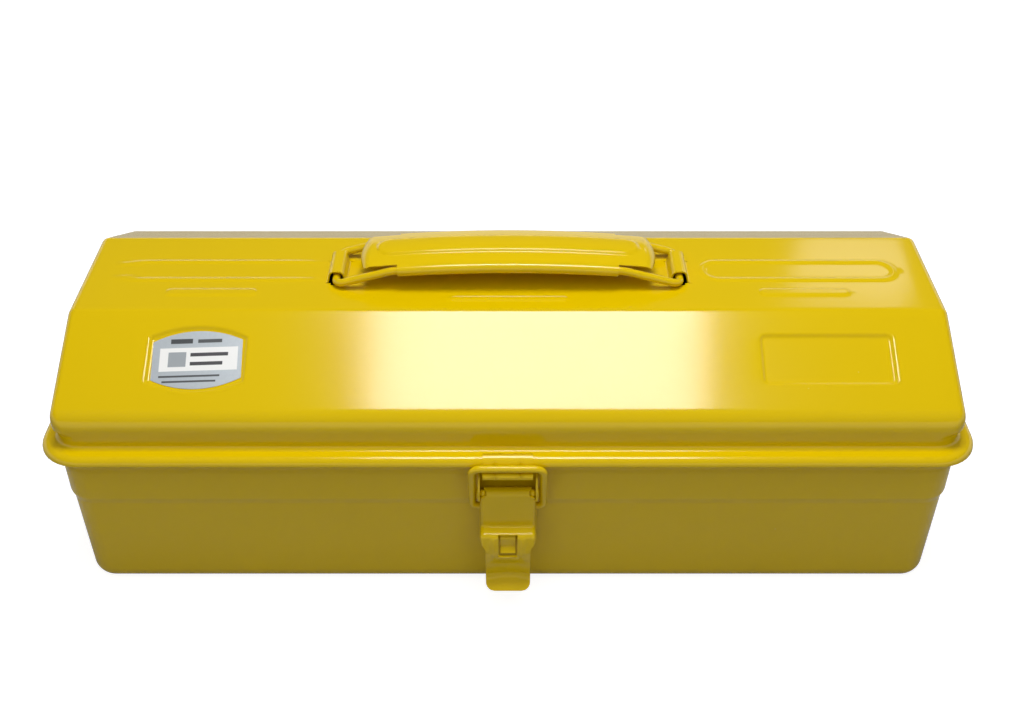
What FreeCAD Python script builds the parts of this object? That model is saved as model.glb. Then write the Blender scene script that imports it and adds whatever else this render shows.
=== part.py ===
import FreeCAD, Part
import math
import os

# Pressed-steel toolbox: a body, a camber-top lid on two rear hinges, a lift-out tray,
# a lever latch at the front and a wire handle with a folded sheet grip. Millimetres.
# X runs along the box, -Y is the front with the latch, +Z is up. The origin is the
# centre of the flat base, so the base stands on Z = 0.

Vector = FreeCAD.Vector
X_AXIS = Vector(1, 0, 0)
Y_AXIS = Vector(0, 1, 0)
Z_AXIS = Vector(0, 0, 1)
NOWHERE = Vector(0, 0, 0)

# ---- overall sizes ------------------------------------------------------------------
RIM_LENGTH = 359.0        # over the lid's rim bead, along X
RIM_DEPTH = 150.0         # over the lid's rim bead, along Y
RIM_CORNER = 17.0         # plan radius of the bead's outer edge
HEIGHT = 124.0            # base to the crest of the grip
HANDLE_RISE = 15.0        # lid top to the crest of the grip
RIM_Z = 70.5              # height of the bead's middle
SHEET = 0.6               # body, lid, tray and grip sheet
HARDWARE_SHEET = 0.9      # latch and hinge sheet

# ---- clearances ---------------------------------------------------------------------
SEAT_GAP = 0.3            # between parts that rest on each other but move apart
RUNNING_GAP = 0.05        # radial, pin in knuckle and wire in lever
GRIP_GAP = 0.15           # radial, wire inside the grip's folded edges
SIDE_GAP = 0.4            # beside parts that slide or swing past each other

# ---- lid ----------------------------------------------------------------------------
BEAD_RADIUS = 3.2         # outside radius of the lid's rim bead
SKIRT_INSET = 6.6         # skirt's outer face, inside the bead's outer edge
SKIRT_BEND = 2.2          # bend from skirt to bead
FOLD_HEIGHT = 16.5        # above the rim, where skirt and slant would meet
FOLD_RADIUS = 9.0
SLANT_RUN = 41.9          # plan depth of each slanted face
CREASE_RADIUS = 4.0
EDGE_RADIUS = 3.4         # end edges along the slants and the top
EDGE_BLEND = 6.0          # end edge radius where the fold starts
SHELL_JOIN = 6.0          # above the rim, where the pressed top meets the rim strip
BLEND_START = 8.0         # above the rim, where the plan corners start to tighten

POCKET_LENGTH = 50.5      # shallow panel pressed into the front slant on the right
POCKET_FROM_END = 50.4    # panel's middle, in from the lid's end
POCKET_FROM_FRONT = 14.2  # panel's lower edge in plan, in from the lid's front
POCKET_SPAN = 18.0        # plan depth of the panel
POCKET_CORNER = 1.5
POCKET_DEPTH = 1.0
LABEL_FROM_END = 54.0     # label's middle, in from the lid's other end
LABEL_LENGTH = 35.0
LABEL_SIDE = 16.3         # straight ends, the middle is wider by the arching
LABEL_ARCH = 4.4
LABEL_THICK = 0.2
LABEL_MARGIN = 1.0        # floor of the recess, showing round the label

RIB_HEIGHT = 0.5          # raised plain stiffening ribs on the flat top
RIB_FROM_ANCHOR = 9.0     # gap from the handle's end bar to the ring rib
RIB_FROM_END = 15.4       # ring rib's outer end, in from the lid's end
RIB_Y = 1.2
RIB_WIDTH = 15.5
RIB_BAND = 2.4
LOW_RIB_LENGTH = 36.0
LOW_RIB_WIDTH = 5.0
LOW_RIB_FROM_CREASE = 12.0
MID_RIB_LENGTH = 47.0
MID_RIB_WIDTH = 3.0
MID_RIB_FROM_CREASE = 7.5

# ---- body ---------------------------------------------------------------------------
CURL_RADIUS = 2.6         # body's rolled top edge, under the lid's bead
CURL_OPENING = 0.3        # how far short of the wall each rolled edge ends
BAND_INSET = 6.0          # upper band's outer face, inside the bead's outer edge
LEDGE_STEP = 1.0          # inward step that carries the tray
LEDGE_DROP = 25.0         # rim's middle to the foot of the ledge
LEDGE_RISE = 3.0
LEDGE_BEND = 3.0
BODY_DRAFT = 0.9          # taper from the ledge down to the base
BASE_BEND = 8.0           # outside radius of the base edge

# ---- tray ---------------------------------------------------------------------------
TRAY_CURL_RADIUS = 1.8
TRAY_DEPTH = 22.0         # rim's middle to the underside
TRAY_DRAFT = 1.0
TRAY_BEND = 4.0

# ---- handle -------------------------------------------------------------------------
WIRE_RADIUS = 1.6
LEG_SPACING = 23.4        # between the front and rear wire
ANCHOR_X = 68.5           # middle of each end bar
CORNER_RADIUS = 3.6
LEG_BEND = 15.0           # bend where each leg leaves the grip
LEG_LEAD = 2.5            # straight of the leg past the grip's folded edge
ARCH_RADIUS = 590.0
GRIP_AXIS_RISE = 10.0     # lid top to the wire's middle at the centre of the grip
GRIP_HALF = 43.5          # half length of the folded edges
WEB_MARGIN = 0.5          # web's ends are this much narrower, past the folded edges
WEB_HALF = 53.8           # half length of the straight web
WEB_END_RADIUS = 4.0
WEB_END_ANGLE = 60.0      # degrees of down-curve at each end
PANEL_RISE = 0.8          # raised racetrack along the grip
PANEL_HALF_WIDTH = 6.0
PANEL_HALF_LENGTH = 52.0
LIFT_PLAY = 1.0           # how far the handle can lift in its loops
LOOP_LENGTH = 15.5        # pressed loops that hold the end bars
LOOP_SLOT_LENGTH = 21.5
SLOT_ROOM = 0.8           # lid's slot, beyond the end bar's side
LOOP_ROOM = 0.8           # loop's middle line, out from the end bar's side
LOOP_BEND = 2.1
LOOP_SPREAD = 1.3         # how far each side of the loop leans out
LOOP_FOOT = 1.3
LOOP_FOOT_BEND = 0.9

# ---- latch --------------------------------------------------------------------------
PIN_DROP = 13.5           # rim's middle down to the lever's pin
PIN_STANDOFF = 5.8        # pin's middle, out from the body's band
PIN_RADIUS = 1.5
PIN_HEAD = 0.5
PIN_HEAD_LIP = 0.7
BAIL_DROP = 8.5           # lever's pin down to the bail's ends
BAIL_STANDOFF = 3.6       # bail's ends, out from the body's band
BAIL_WIRE = 1.4           # wire radius
BAIL_HALF_WIDTH = 13.75   # to the middle of the wire
BAIL_FOOT_BEND = 2.6
BAIL_TOP_BEND = 3.6
BAIL_END_GAP = 0.6        # bail's end, inside the lever's cheek
BAR_RISE = 1.4            # rim's middle up to the bail's bar
BAR_DIP_GAP = 0.55        # under the bar, which dips as the lever passes over centre
HOOK_HALF_WIDTH = 9.5
LEVER_WIDTH = 20.6
LEVER_TAIL_WIDTH = 17.6
ROLL_WIDTH = 18.2
ROLL_DROP = 3.0           # pin down to the lever's full width
CHEEK_DROP = 3.4          # pin down to the top of the lever's cheeks
TAPER_TOP = 18.5          # pin down to where the lever starts to narrow
TAPER_LOW = 24.0
SLOT_WIDTH = 7.6
SLOT_TOP = 17.6           # pin down to the slot's top edge
SLOT_LOW = 27.2
STOP_WIDTH = 6.1
PLATE_ABOVE = 8.5         # bracket plate's top, over the pin
PLATE_BELOW = 30.0
FOOT_TOP = 5.0            # pin down to the bracket's weld feet
FOOT_HEIGHT = 5.0
FOOT_REACH = 2.2
EAR_BEND = 2.0
EAR_FRONT = 2.6           # ear's front edge, out from the pin's middle
# Middle lines as (forward, below the pin, bend): the lever from its front face, and
# the bracket's stop tongue from its plate.
LEVER_LINE = [
    (0, 0, 0), (0, 15.6, 1.2), (4.5, 16.6, 1.8), (5.4, 24.5, 7.0), (1.8, 41.5, 5.0), (6.4, 45.2, 0)
]
STOP_LINE = [(0, 13.0, 0), (1.2, 17.6, 3.0), (11.45, 20.6, 3.0), (13.15, 25.4, 0)]
# Lever's cheek round the bail's end, as (back, below, bend) from that end.
CHEEK_CORNERS = [(0.5, 3.9, 2.0), (2.3, 0, 2.2)]
CHEEK_TOP_BACK = 0.6
CHEEK_TOP_BEND = 1.5

# ---- hinges -------------------------------------------------------------------------
HINGE_FROM_CORNER = 57.5  # hinge's middle, in from the corner axis
HINGE_WIDTH = 32.0
HINGE_MIDDLE = 13.4       # lid knuckle, between the two body knuckles
HINGE_PIN_RADIUS = 1.2
KNUCKLE_RADIUS = 2.2
LEAF_BEND = 2.0
BODY_LEAF_SLOPE = 6.0     # fall of the body leaf from knuckle to wall
LID_LEAF_SLOPE = 6.5      # rise of the lid leaf from knuckle to skirt
BODY_LEAF_DROP = 20.5     # rim's middle to the body leaf's lower edge
LID_LEAF_MARGIN = 2.5     # lid leaf's upper edge, below the fold

# ---- sizes that follow --------------------------------------------------------------
LID_TOP = HEIGHT - HANDLE_RISE
AXIS_X = RIM_LENGTH / 2 - RIM_CORNER      # plan corners turn about these points
AXIS_Y = RIM_DEPTH / 2 - RIM_CORNER
SKIRT = RIM_CORNER - SKIRT_INSET          # distances out from the corner axes
BAND = RIM_CORNER - BAND_INSET
BEAD = RIM_CORNER - BEAD_RADIUS
FOLD_Z = RIM_Z + FOLD_HEIGHT
LID_HALF_LENGTH = AXIS_X + SKIRT
LID_HALF_DEPTH = AXIS_Y + SKIRT
SLANT = math.atan2(LID_TOP - FOLD_Z, SLANT_RUN)
CREASE_Y = LID_HALF_DEPTH - SLANT_RUN
POCKET_X = LID_HALF_LENGTH - POCKET_FROM_END
LABEL_X = LABEL_FROM_END - LID_HALF_LENGTH
POCKET_LOWER_Y = LID_HALF_DEPTH - POCKET_FROM_FRONT
POCKET_UPPER_Y = POCKET_LOWER_Y - POCKET_SPAN
RIB_INNER = ANCHOR_X + RIB_FROM_ANCHOR
RIB_OUTER = LID_HALF_LENGTH - RIB_FROM_END
LEDGE_LOW = RIM_Z - LEDGE_DROP
HINGE_X = AXIS_X - HINGE_FROM_CORNER
HINGE_Y = RIM_DEPTH / 2 + SIDE_GAP + KNUCKLE_RADIUS
HINGE_Z = RIM_Z
WIRE_REST_Z = LID_TOP + SEAT_GAP + WIRE_RADIUS
GRIP_Z = LID_TOP + GRIP_AXIS_RISE
TUBE_RADIUS = WIRE_RADIUS + GRIP_GAP + SHEET
CROWN = HANDLE_RISE - GRIP_AXIS_RISE - TUBE_RADIUS - PANEL_RISE
WEB_END_HALF_WIDTH = LEG_SPACING / 2 - WEB_MARGIN
BAND_Y = -(AXIS_Y + BAND)                 # body's front, over the ledge
PLATE_Y = BAND_Y - HARDWARE_SHEET / 2     # middle of the bracket's plate
PIVOT_Y = BAND_Y - PIN_STANDOFF
PIVOT_Z = RIM_Z - PIN_DROP
BAIL_Y = BAND_Y - BAIL_STANDOFF
BAIL_Z = PIVOT_Z - BAIL_DROP
LEVER_FACE_Y = PIVOT_Y - PIN_RADIUS - RUNNING_GAP - HARDWARE_SHEET / 2
BAR_Y = -(RIM_DEPTH / 2 + HARDWARE_SHEET) - SEAT_GAP - BAIL_WIRE
BAR_Z = RIM_Z + BAR_RISE
EAR_INNER = LEVER_WIDTH / 2 + SEAT_GAP
EAR_OUTER = EAR_INNER + HARDWARE_SHEET


# ---- drawing helpers ----------------------------------------------------------------
def rounded_edges(corners, closed):
    """Edges through the corners, each given as (point, bend radius)."""
    count = len(corners)
    joints = []
    for index, (point, radius) in enumerate(corners):
        ended = not closed and index in (0, count - 1)
        if ended or radius <= 0:
            joints.append((point, None, point))
            continue
        back = (corners[index - 1][0] - point).normalize()
        ahead = (corners[(index + 1) % count][0] - point).normalize()
        half = back.getAngle(ahead) / 2
        reach = radius / math.tan(half)
        inward = (back + ahead).normalize()
        middle = point + inward * (radius / math.sin(half) - radius)
        joints.append((point + back * reach, middle, point + ahead * reach))
    edges = []
    for index, (start, middle, end) in enumerate(joints):
        if middle is not None:
            edges.append(Part.Arc(start, middle, end).toShape())
        if index + 1 < count or closed:
            onward = joints[(index + 1) % count][0]
            if end.distanceToPoint(onward) > 1e-6:
                edges.append(Part.makeLine(end, onward))
    return edges


def in_xz(u, v):
    """Place a drawing so u runs along X and v up Z."""
    return Vector(u, 0, v)


def in_yz(u, v):
    """Place a drawing so u runs along Y and v up Z."""
    return Vector(0, u, v)


def in_xy(u, v):
    """Place a drawing so u runs along X and v along Y."""
    return Vector(u, v, 0)


def outline(points, place):
    """Filled face inside (u, v, bend radius) points."""
    corners = [(place(u, v), radius) for u, v, radius in points]
    return Part.Face(Part.Wire(rounded_edges(corners, True)))


def strip(path, thickness, place):
    """Filled edge-on view of a sheet bent along the (u, v, middle bend radius) path."""
    half = thickness / 2
    left = []
    right = []
    for index, (u, v, radius) in enumerate(path):
        arrive = depart = None
        if index > 0:
            arrive = Vector(u - path[index - 1][0], v - path[index - 1][1], 0).normalize()
        if index + 1 < len(path):
            depart = Vector(path[index + 1][0] - u, path[index + 1][1] - v, 0).normalize()
        arrive = arrive or depart
        depart = depart or arrive
        normals = Vector(-arrive.y - depart.y, arrive.x + depart.x, 0)
        shift = normals * (half / (1 + arrive.dot(depart)))
        turn = arrive.x * depart.y - arrive.y * depart.x
        inner = max(radius - half, 0)
        outer = radius + half if radius > 0 else 0
        left.append((u + shift.x, v + shift.y, inner if turn > 0 else outer))
        right.append((u - shift.x, v - shift.y, outer if turn > 0 else inner))
    return outline(left + right[::-1], place)


def ring(u, v, outer, inner, place, normal):
    """Filled ring face, the end view of a tube."""
    disc = Part.Face(Part.Wire(Part.makeCircle(outer, place(u, v), normal)))
    hole = Part.Face(Part.Wire(Part.makeCircle(inner, place(u, v), normal)))
    return disc.cut(hole)


def join(shapes):
    """One clean solid from touching or overlapping shapes."""
    merged = shapes[0].multiFuse(shapes[1:]).removeSplitter()
    return merged.Solids[0] if len(merged.Solids) == 1 else merged


def moved(shape, x=0, y=0, z=0):
    """Copy of the shape, shifted."""
    copy = shape.copy()
    copy.translate(Vector(x, y, z))
    return copy


def across(face, half_width, x=0):
    """Solid from a side view, centred on x and reaching half_width each way."""
    return moved(face, x=x - half_width).extrude(X_AXIS * (2 * half_width))


def box(low, high):
    """Solid box between two corners."""
    size = Vector(*high) - Vector(*low)
    return Part.makeBox(size.x, size.y, size.z, Vector(*low))


def rod(radius, half_length, x, y, z):
    """Solid round bar along X."""
    return Part.makeCylinder(radius, 2 * half_length, Vector(x - half_length, y, z), X_AXIS)


def both_sides(shape):
    """The shape and its mirror image across the middle of the box."""
    return [shape, shape.mirror(NOWHERE, X_AXIS)]


def around(face):
    """Carry a section drawn outward from a corner axis once round the rounded rectangle."""
    pieces = []
    stops = [(AXIS_X, -AXIS_Y), (AXIS_X, AXIS_Y), (-AXIS_X, AXIS_Y), (-AXIS_X, -AXIS_Y)]
    for quarter, (x, y) in enumerate(stops):
        onward = stops[(quarter + 1) % 4]
        turned = face.copy()
        turned.rotate(NOWHERE, Z_AXIS, 90 * quarter)
        pieces.append(moved(turned, x, y).extrude(Vector(onward[0] - x, onward[1] - y, 0)))
        swept = turned.revolve(NOWHERE, Z_AXIS, 90)
        pieces.append(moved(swept, *onward))
    return join(pieces)


def pan(section, floor_low):
    """Shell with a flat floor: a wall section that reaches in to the corner axes."""
    floor = box((-AXIS_X, -AXIS_Y, floor_low), (AXIS_X, AXIS_Y, floor_low + SHEET))
    return join([around(section), floor])


def wire_along(corners, radius):
    """Round wire swept along corners given as (point, bend radius)."""
    spine = Part.Wire(rounded_edges(corners, False))
    start = corners[0][0]
    heading = corners[1][0] - start
    circle = Part.Wire(Part.makeCircle(radius, start, heading))
    return spine.makePipeShell([circle], True, True)


def slant_frame(x):
    """Placement on the front slant: its u runs along X and its v up the slope."""
    middle = (POCKET_UPPER_Y + POCKET_LOWER_Y) / 2
    height = LID_TOP - (middle - CREASE_Y) * math.tan(SLANT)
    turn = FreeCAD.Rotation(X_AXIS, math.degrees(SLANT))
    return FreeCAD.Placement(Vector(x, -middle, height), turn)


def on_slant(face, x, low, high):
    """Raise a flat drawing on the front slant between two heights over its surface."""
    solid = moved(face, z=low).extrude(Vector(0, 0, high - low))
    solid.Placement = slant_frame(x).multiply(solid.Placement)
    return solid


# ---- body ---------------------------------------------------------------------------
def body_wall_path():
    """Middle line of the body's sheet, from the corner axis out and up to the curl."""
    half = SHEET / 2
    low = BAND - LEDGE_STEP - half
    return [
        (0, half, 0),
        (low - BODY_DRAFT, half, BASE_BEND - half),
        (low, LEDGE_LOW, LEDGE_BEND),
        (BAND - half, LEDGE_LOW + LEDGE_RISE, LEDGE_BEND),
    ] + rolled_edge(BAND - half, curl_height(), CURL_RADIUS)


def rolled_edge(wall, height, radius):
    """End of a path that rolls outward from the wall round a middle at this height."""
    mean = radius - SHEET / 2
    return [
        (wall, height + mean, mean),
        (wall + 2 * mean, height + mean, mean),
        (wall + 2 * mean, height - mean, mean),
        (wall + mean - CURL_OPENING, height - mean, 0),
    ]


def curl_height():
    """Height of the body's curl so that the lid's rim rests over it."""
    return RIM_Z + BEAD_RADIUS - SHEET - SEAT_GAP - CURL_RADIUS


def body_shell():
    """Deep-drawn body with a tray ledge and a rolled rim."""
    return pan(strip(body_wall_path(), SHEET, in_xz), 0)


# ---- tray ---------------------------------------------------------------------------
def tray_rim_height():
    """Height of the tray's curl when it rests on the slope of the ledge."""
    curl = BAND - SHEET - SIDE_GAP - TRAY_CURL_RADIUS
    reach = TRAY_CURL_RADIUS + SEAT_GAP
    slope = math.hypot(LEDGE_STEP, LEDGE_RISE)
    foot = BAND - LEDGE_STEP - SHEET / 2
    side = SHEET / 2 * slope / LEDGE_RISE
    along = (reach * slope - LEDGE_RISE * (foot - side - curl)) / LEDGE_STEP
    return LEDGE_LOW + along


def tray_pan():
    """Lift-out tray: a shallow pan with an outward curl that hangs on the ledge."""
    rim_z = tray_rim_height()
    curl = BAND - SHEET - SIDE_GAP - TRAY_CURL_RADIUS
    wall_top = curl - TRAY_CURL_RADIUS + SHEET / 2
    floor = rim_z - TRAY_DEPTH
    path = [
        (0, floor + SHEET / 2, 0),
        (wall_top - TRAY_DRAFT, floor + SHEET / 2, TRAY_BEND),
    ] + rolled_edge(wall_top, rim_z, TRAY_CURL_RADIUS)
    return pan(strip(path, SHEET, in_xz), floor)


# ---- lid ----------------------------------------------------------------------------
def camber_block(inset):
    """Solid under the lid's outer skin, moved inwards by inset."""
    end = LID_HALF_LENGTH - inset
    depth = LID_HALF_DEPTH - inset
    top = LID_TOP - inset
    lift = inset * math.tan(SLANT / 2)
    flat = CREASE_Y - lift
    fold = FOLD_Z - lift
    blend = RIM_Z + BLEND_START
    profile = outline(
        [
            (-depth, blend, 0),
            (-depth, fold, FOLD_RADIUS - inset),
            (-flat, top, CREASE_RADIUS - inset),
            (flat, top, CREASE_RADIUS - inset),
            (depth, fold, FOLD_RADIUS - inset),
            (depth, blend, 0),
        ],
        in_yz,
    )
    lower = box((-end, -depth, RIM_Z + SHELL_JOIN), (end, depth, blend))
    block = across(profile, end).fuse(lower).Solids[0]
    return round_ends(block, end, blend, inset)


def round_ends(block, end, blend, inset):
    """Round the two end outlines: wide at the skirt corners, small over the top."""
    radii = []
    for number, edge in enumerate(block.Edges, 1):
        reach = edge.BoundBox
        if reach.XLength > 1e-3 or abs(abs(reach.Center.x) - end) > 1e-3:
            continue
        if reach.ZLength < 1e-3 and reach.ZMax < blend + 1e-3:
            continue
        first, last = edge.Vertexes[0].Point, edge.Vertexes[-1].Point
        start = end_radius(first.z, blend) - inset
        radii.append((number, start, end_radius(last.z, blend) - inset))
    document = FreeCAD.newDocument()
    source = document.addObject("Part::Feature", "Block")
    source.Shape = block
    rounded = document.addObject("Part::Fillet", "Rounded")
    rounded.Base = source
    rounded.Edges = radii
    document.recompute()
    result = rounded.Shape.copy()
    FreeCAD.closeDocument(document.Name)
    return result.Solids[0]


def end_radius(z, blend):
    """Outside radius of the lid's end outline at this height."""
    if z < blend + 1e-3:
        return SKIRT
    return EDGE_BLEND if z < FOLD_Z - SHEET else EDGE_RADIUS


def rim_section():
    """Strip from the skirt out and over into the half-round bead."""
    half = SHEET / 2
    mean = BEAD_RADIUS - half
    skirt = SKIRT - half
    return strip(
        [
            (skirt, RIM_Z + SHELL_JOIN, 0),
            (skirt, RIM_Z + mean, SKIRT_BEND),
            (BEAD + mean, RIM_Z + mean, mean),
            (BEAD + mean, RIM_Z, 0),
        ],
        SHEET,
        in_xz,
    )


def rounded_bar(length, width):
    """Flat racetrack drawing, centred."""
    x = (length - width) / 2
    y = width / 2
    edges = [
        Part.makeLine(Vector(-x, -y, 0), Vector(x, -y, 0)),
        Part.Arc(Vector(x, -y, 0), Vector(x + y, 0, 0), Vector(x, y, 0)).toShape(),
        Part.makeLine(Vector(x, y, 0), Vector(-x, y, 0)),
        Part.Arc(Vector(-x, y, 0), Vector(-x - y, 0, 0), Vector(-x, -y, 0)).toShape(),
    ]
    return Part.Face(Part.Wire(edges))


def pressed_ribs():
    """Raised plain ribs on the flat top, as (drawing, x, y)."""
    length = RIB_OUTER - RIB_INNER
    hollow = rounded_bar(length - 2 * RIB_BAND, RIB_WIDTH - 2 * RIB_BAND)
    band = rounded_bar(length, RIB_WIDTH).cut(hollow)
    low = rounded_bar(LOW_RIB_LENGTH, LOW_RIB_WIDTH)
    middle = rounded_bar(MID_RIB_LENGTH, MID_RIB_WIDTH)
    ribs = [(middle, 0, MID_RIB_FROM_CREASE - CREASE_Y)]
    for side in (-1, 1):
        x = side * (RIB_INNER + RIB_OUTER) / 2
        ribs.append((band, x, RIB_Y))
        ribs.append((low, x, LOW_RIB_FROM_CREASE - CREASE_Y))
    return ribs


def barrel(grow):
    """Outline of the label grown on all sides: straight ends and arched long edges."""
    x = LABEL_LENGTH / 2 + grow
    y = LABEL_SIDE / 2 + grow
    edges = [
        Part.makeLine(Vector(x, -y, 0), Vector(x, y, 0)),
        Part.Arc(Vector(x, y, 0), Vector(0, y + LABEL_ARCH, 0), Vector(-x, y, 0)).toShape(),
        Part.makeLine(Vector(-x, y, 0), Vector(-x, -y, 0)),
        Part.Arc(Vector(-x, -y, 0), Vector(0, -y - LABEL_ARCH, 0), Vector(x, -y, 0)).toShape(),
    ]
    return Part.Face(Part.Wire(edges))


def panel(grow):
    """Outline of the plain pressed panel, grown on all sides."""
    x = POCKET_LENGTH / 2 + grow
    y = (POCKET_LOWER_Y - POCKET_UPPER_Y) / 2 / math.cos(SLANT) + grow
    bend = POCKET_CORNER
    return outline([(-x, -y, bend), (x, -y, bend), (x, y, bend), (-x, y, bend)], in_xy)


def loop_section():
    """End view of the pressed loop that holds one end bar of the handle."""
    base = LID_TOP - SHEET / 2
    crest = WIRE_REST_Z + WIRE_RADIUS + LIFT_PLAY + SEAT_GAP + SHEET / 2
    shoulder = WIRE_RADIUS + LOOP_ROOM
    foot = shoulder + LOOP_SPREAD
    path = [
        (-foot - LOOP_FOOT, base, 0),
        (-foot, base, LOOP_FOOT_BEND),
        (-shoulder, crest, LOOP_BEND),
        (shoulder, crest, LOOP_BEND),
        (foot, base, LOOP_FOOT_BEND),
        (foot + LOOP_FOOT, base, 0),
    ]
    return strip(path, SHEET, in_xz)


def lid_shell():
    """Camber lid: rim bead, slanted faces, label recess, panel, ribs and handle loops."""
    top = camber_block(0).cut(camber_block(SHEET))
    lid = join([top, around(rim_section())])
    outer = LABEL_MARGIN + SHEET
    pockets = [(LABEL_X, barrel(LABEL_MARGIN), barrel(outer)), (POCKET_X, panel(0), panel(SHEET))]
    for x, hollow, solid in pockets:
        backing = on_slant(solid, x, -POCKET_DEPTH - SHEET, -SHEET / 2)
        recess = on_slant(hollow, x, -POCKET_DEPTH, POCKET_DEPTH)
        lid = lid.fuse(backing).cut(recess)
    for drawing, x, y in pressed_ribs():
        rib = moved(drawing, x, y, LID_TOP - SHEET / 2)
        lid = lid.fuse(rib.extrude(Vector(0, 0, SHEET / 2 + RIB_HEIGHT)))
    slot_side = WIRE_RADIUS + SLOT_ROOM
    for x in (-ANCHOR_X, ANCHOR_X):
        slot = box(
            (x - slot_side, -LOOP_SLOT_LENGTH / 2, LID_TOP - 2 * SHEET),
            (x + slot_side, LOOP_SLOT_LENGTH / 2, LID_TOP + SHEET),
        )
        loop = moved(loop_section(), x, -LOOP_LENGTH / 2).extrude(Y_AXIS * LOOP_LENGTH)
        lid = lid.cut(slot).fuse(loop)
    lid = lid.removeSplitter()
    return lid.Solids[0]


def label_plate():
    """Blank printed label in the left recess, with arched long edges."""
    return on_slant(barrel(0), LABEL_X, -POCKET_DEPTH, -POCKET_DEPTH + LABEL_THICK)


# ---- handle -------------------------------------------------------------------------
def arch_drop(x):
    """Fall of the arched grip at distance x from the middle."""
    return ARCH_RADIUS - math.sqrt(ARCH_RADIUS ** 2 - x ** 2)


def handle_wire():
    """Closed wire loop: two arched legs and two end bars under the lid's loops."""
    y = LEG_SPACING / 2
    start = Vector(0, y, GRIP_Z)
    mouth = Vector(GRIP_HALF, y, GRIP_Z - arch_drop(GRIP_HALF))
    half_way = Vector(GRIP_HALF / 2, y, GRIP_Z - arch_drop(GRIP_HALF / 2))
    slope = GRIP_HALF / math.sqrt(ARCH_RADIUS ** 2 - GRIP_HALF ** 2)
    bend = mouth + Vector(LEG_LEAD, 0, -LEG_LEAD * slope)
    corner = Vector(ANCHOR_X, y, WIRE_REST_Z)
    middle = Vector(ANCHOR_X, 0, WIRE_REST_Z)
    leg = rounded_edges([(mouth, 0), (bend, LEG_BEND), (corner, CORNER_RADIUS), (middle, 0)], False)
    spine = Part.Wire([Part.Arc(start, half_way, mouth).toShape()] + leg)
    circle = Part.Wire(Part.makeCircle(WIRE_RADIUS, start, X_AXIS))
    quarter = spine.makePipeShell([circle], True, True)
    half = both_sides(quarter)
    rear = [piece.mirror(NOWHERE, Y_AXIS) for piece in half]
    return join(half + rear)


def web_section(half_width, rise, thickness):
    """End view of the grip's crowned web, lifted by rise."""
    def height(y):
        return GRIP_Z + TUBE_RADIUS + CROWN * (1 - (2 * y / LEG_SPACING) ** 2) + rise

    w = half_width
    edges = [
        Part.Arc(in_yz(-w, height(w)), in_yz(0, height(0)), in_yz(w, height(w))).toShape(),
        Part.makeLine(in_yz(w, height(w)), in_yz(w, height(w) - thickness)),
        Part.Arc(
            in_yz(w, height(w) - thickness),
            in_yz(0, height(0) - thickness),
            in_yz(-w, height(w) - thickness),
        ).toShape(),
        Part.makeLine(in_yz(-w, height(w) - thickness), in_yz(-w, height(w))),
    ]
    return Part.Face(Part.Wire(edges))


def arched(face, half_length):
    """Carry a section drawn at the middle of the grip along the arch both ways."""
    centre = Vector(0, 0, GRIP_Z - ARCH_RADIUS)
    angle = math.degrees(math.asin(half_length / ARCH_RADIUS))
    start = face.copy()
    start.rotate(centre, Y_AXIS, -angle)
    return start.revolve(centre, Y_AXIS, 2 * angle)


def web_end():
    """Down-curved end of the grip's web on the right."""
    centre = Vector(0, 0, GRIP_Z - ARCH_RADIUS)
    angle = math.degrees(math.asin(WEB_HALF / ARCH_RADIUS))
    section = web_section(WEB_END_HALF_WIDTH, 0, SHEET)
    section.rotate(centre, Y_AXIS, angle)
    radial = Vector(math.sin(math.radians(angle)), 0, math.cos(math.radians(angle)))
    pivot = centre + radial * (ARCH_RADIUS + TUBE_RADIUS - WEB_END_RADIUS)
    return section.revolve(pivot, Y_AXIS, WEB_END_ANGLE)


def handle_grip():
    """Sheet grip: a crowned web with both long edges folded round the wires."""
    web = arched(web_section(LEG_SPACING / 2, 0, SHEET), WEB_HALF)
    for x in (-WEB_HALF - GRIP_HALF, WEB_HALF + GRIP_HALF):
        for y in (-LEG_SPACING / 2 - WEB_END_HALF_WIDTH, LEG_SPACING / 2 + WEB_END_HALF_WIDTH):
            low = (x - WEB_HALF, y - LEG_SPACING / 2, LID_TOP)
            high = (x + WEB_HALF, y + LEG_SPACING / 2, HEIGHT + HANDLE_RISE)
            web = web.cut(box(low, high))
    pieces = [web]
    for y in (-LEG_SPACING / 2, LEG_SPACING / 2):
        fold = ring(y, GRIP_Z, TUBE_RADIUS, TUBE_RADIUS - SHEET, in_yz, X_AXIS)
        pieces.append(arched(fold, GRIP_HALF))
    pieces.extend(both_sides(web_end()))
    grip = join(pieces)
    half = LEG_SPACING / 2
    raised = arched(web_section(half, PANEL_RISE, SHEET + PANEL_RISE / 2), PANEL_HALF_LENGTH)
    hollow = arched(web_section(half, PANEL_RISE - SHEET, TUBE_RADIUS), PANEL_HALF_LENGTH)
    window = racetrack_column(0)
    inner = racetrack_column(SHEET)
    grip = grip.fuse(raised.common(window)).cut(hollow.common(inner))
    return grip.removeSplitter().Solids[0]


def racetrack_column(inset):
    """Tall column over the grip's raised panel."""
    drawing = rounded_bar(2 * (PANEL_HALF_LENGTH - inset), 2 * (PANEL_HALF_WIDTH - inset))
    return moved(drawing, z=LID_TOP).extrude(Vector(0, 0, 2 * HANDLE_RISE))


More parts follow.
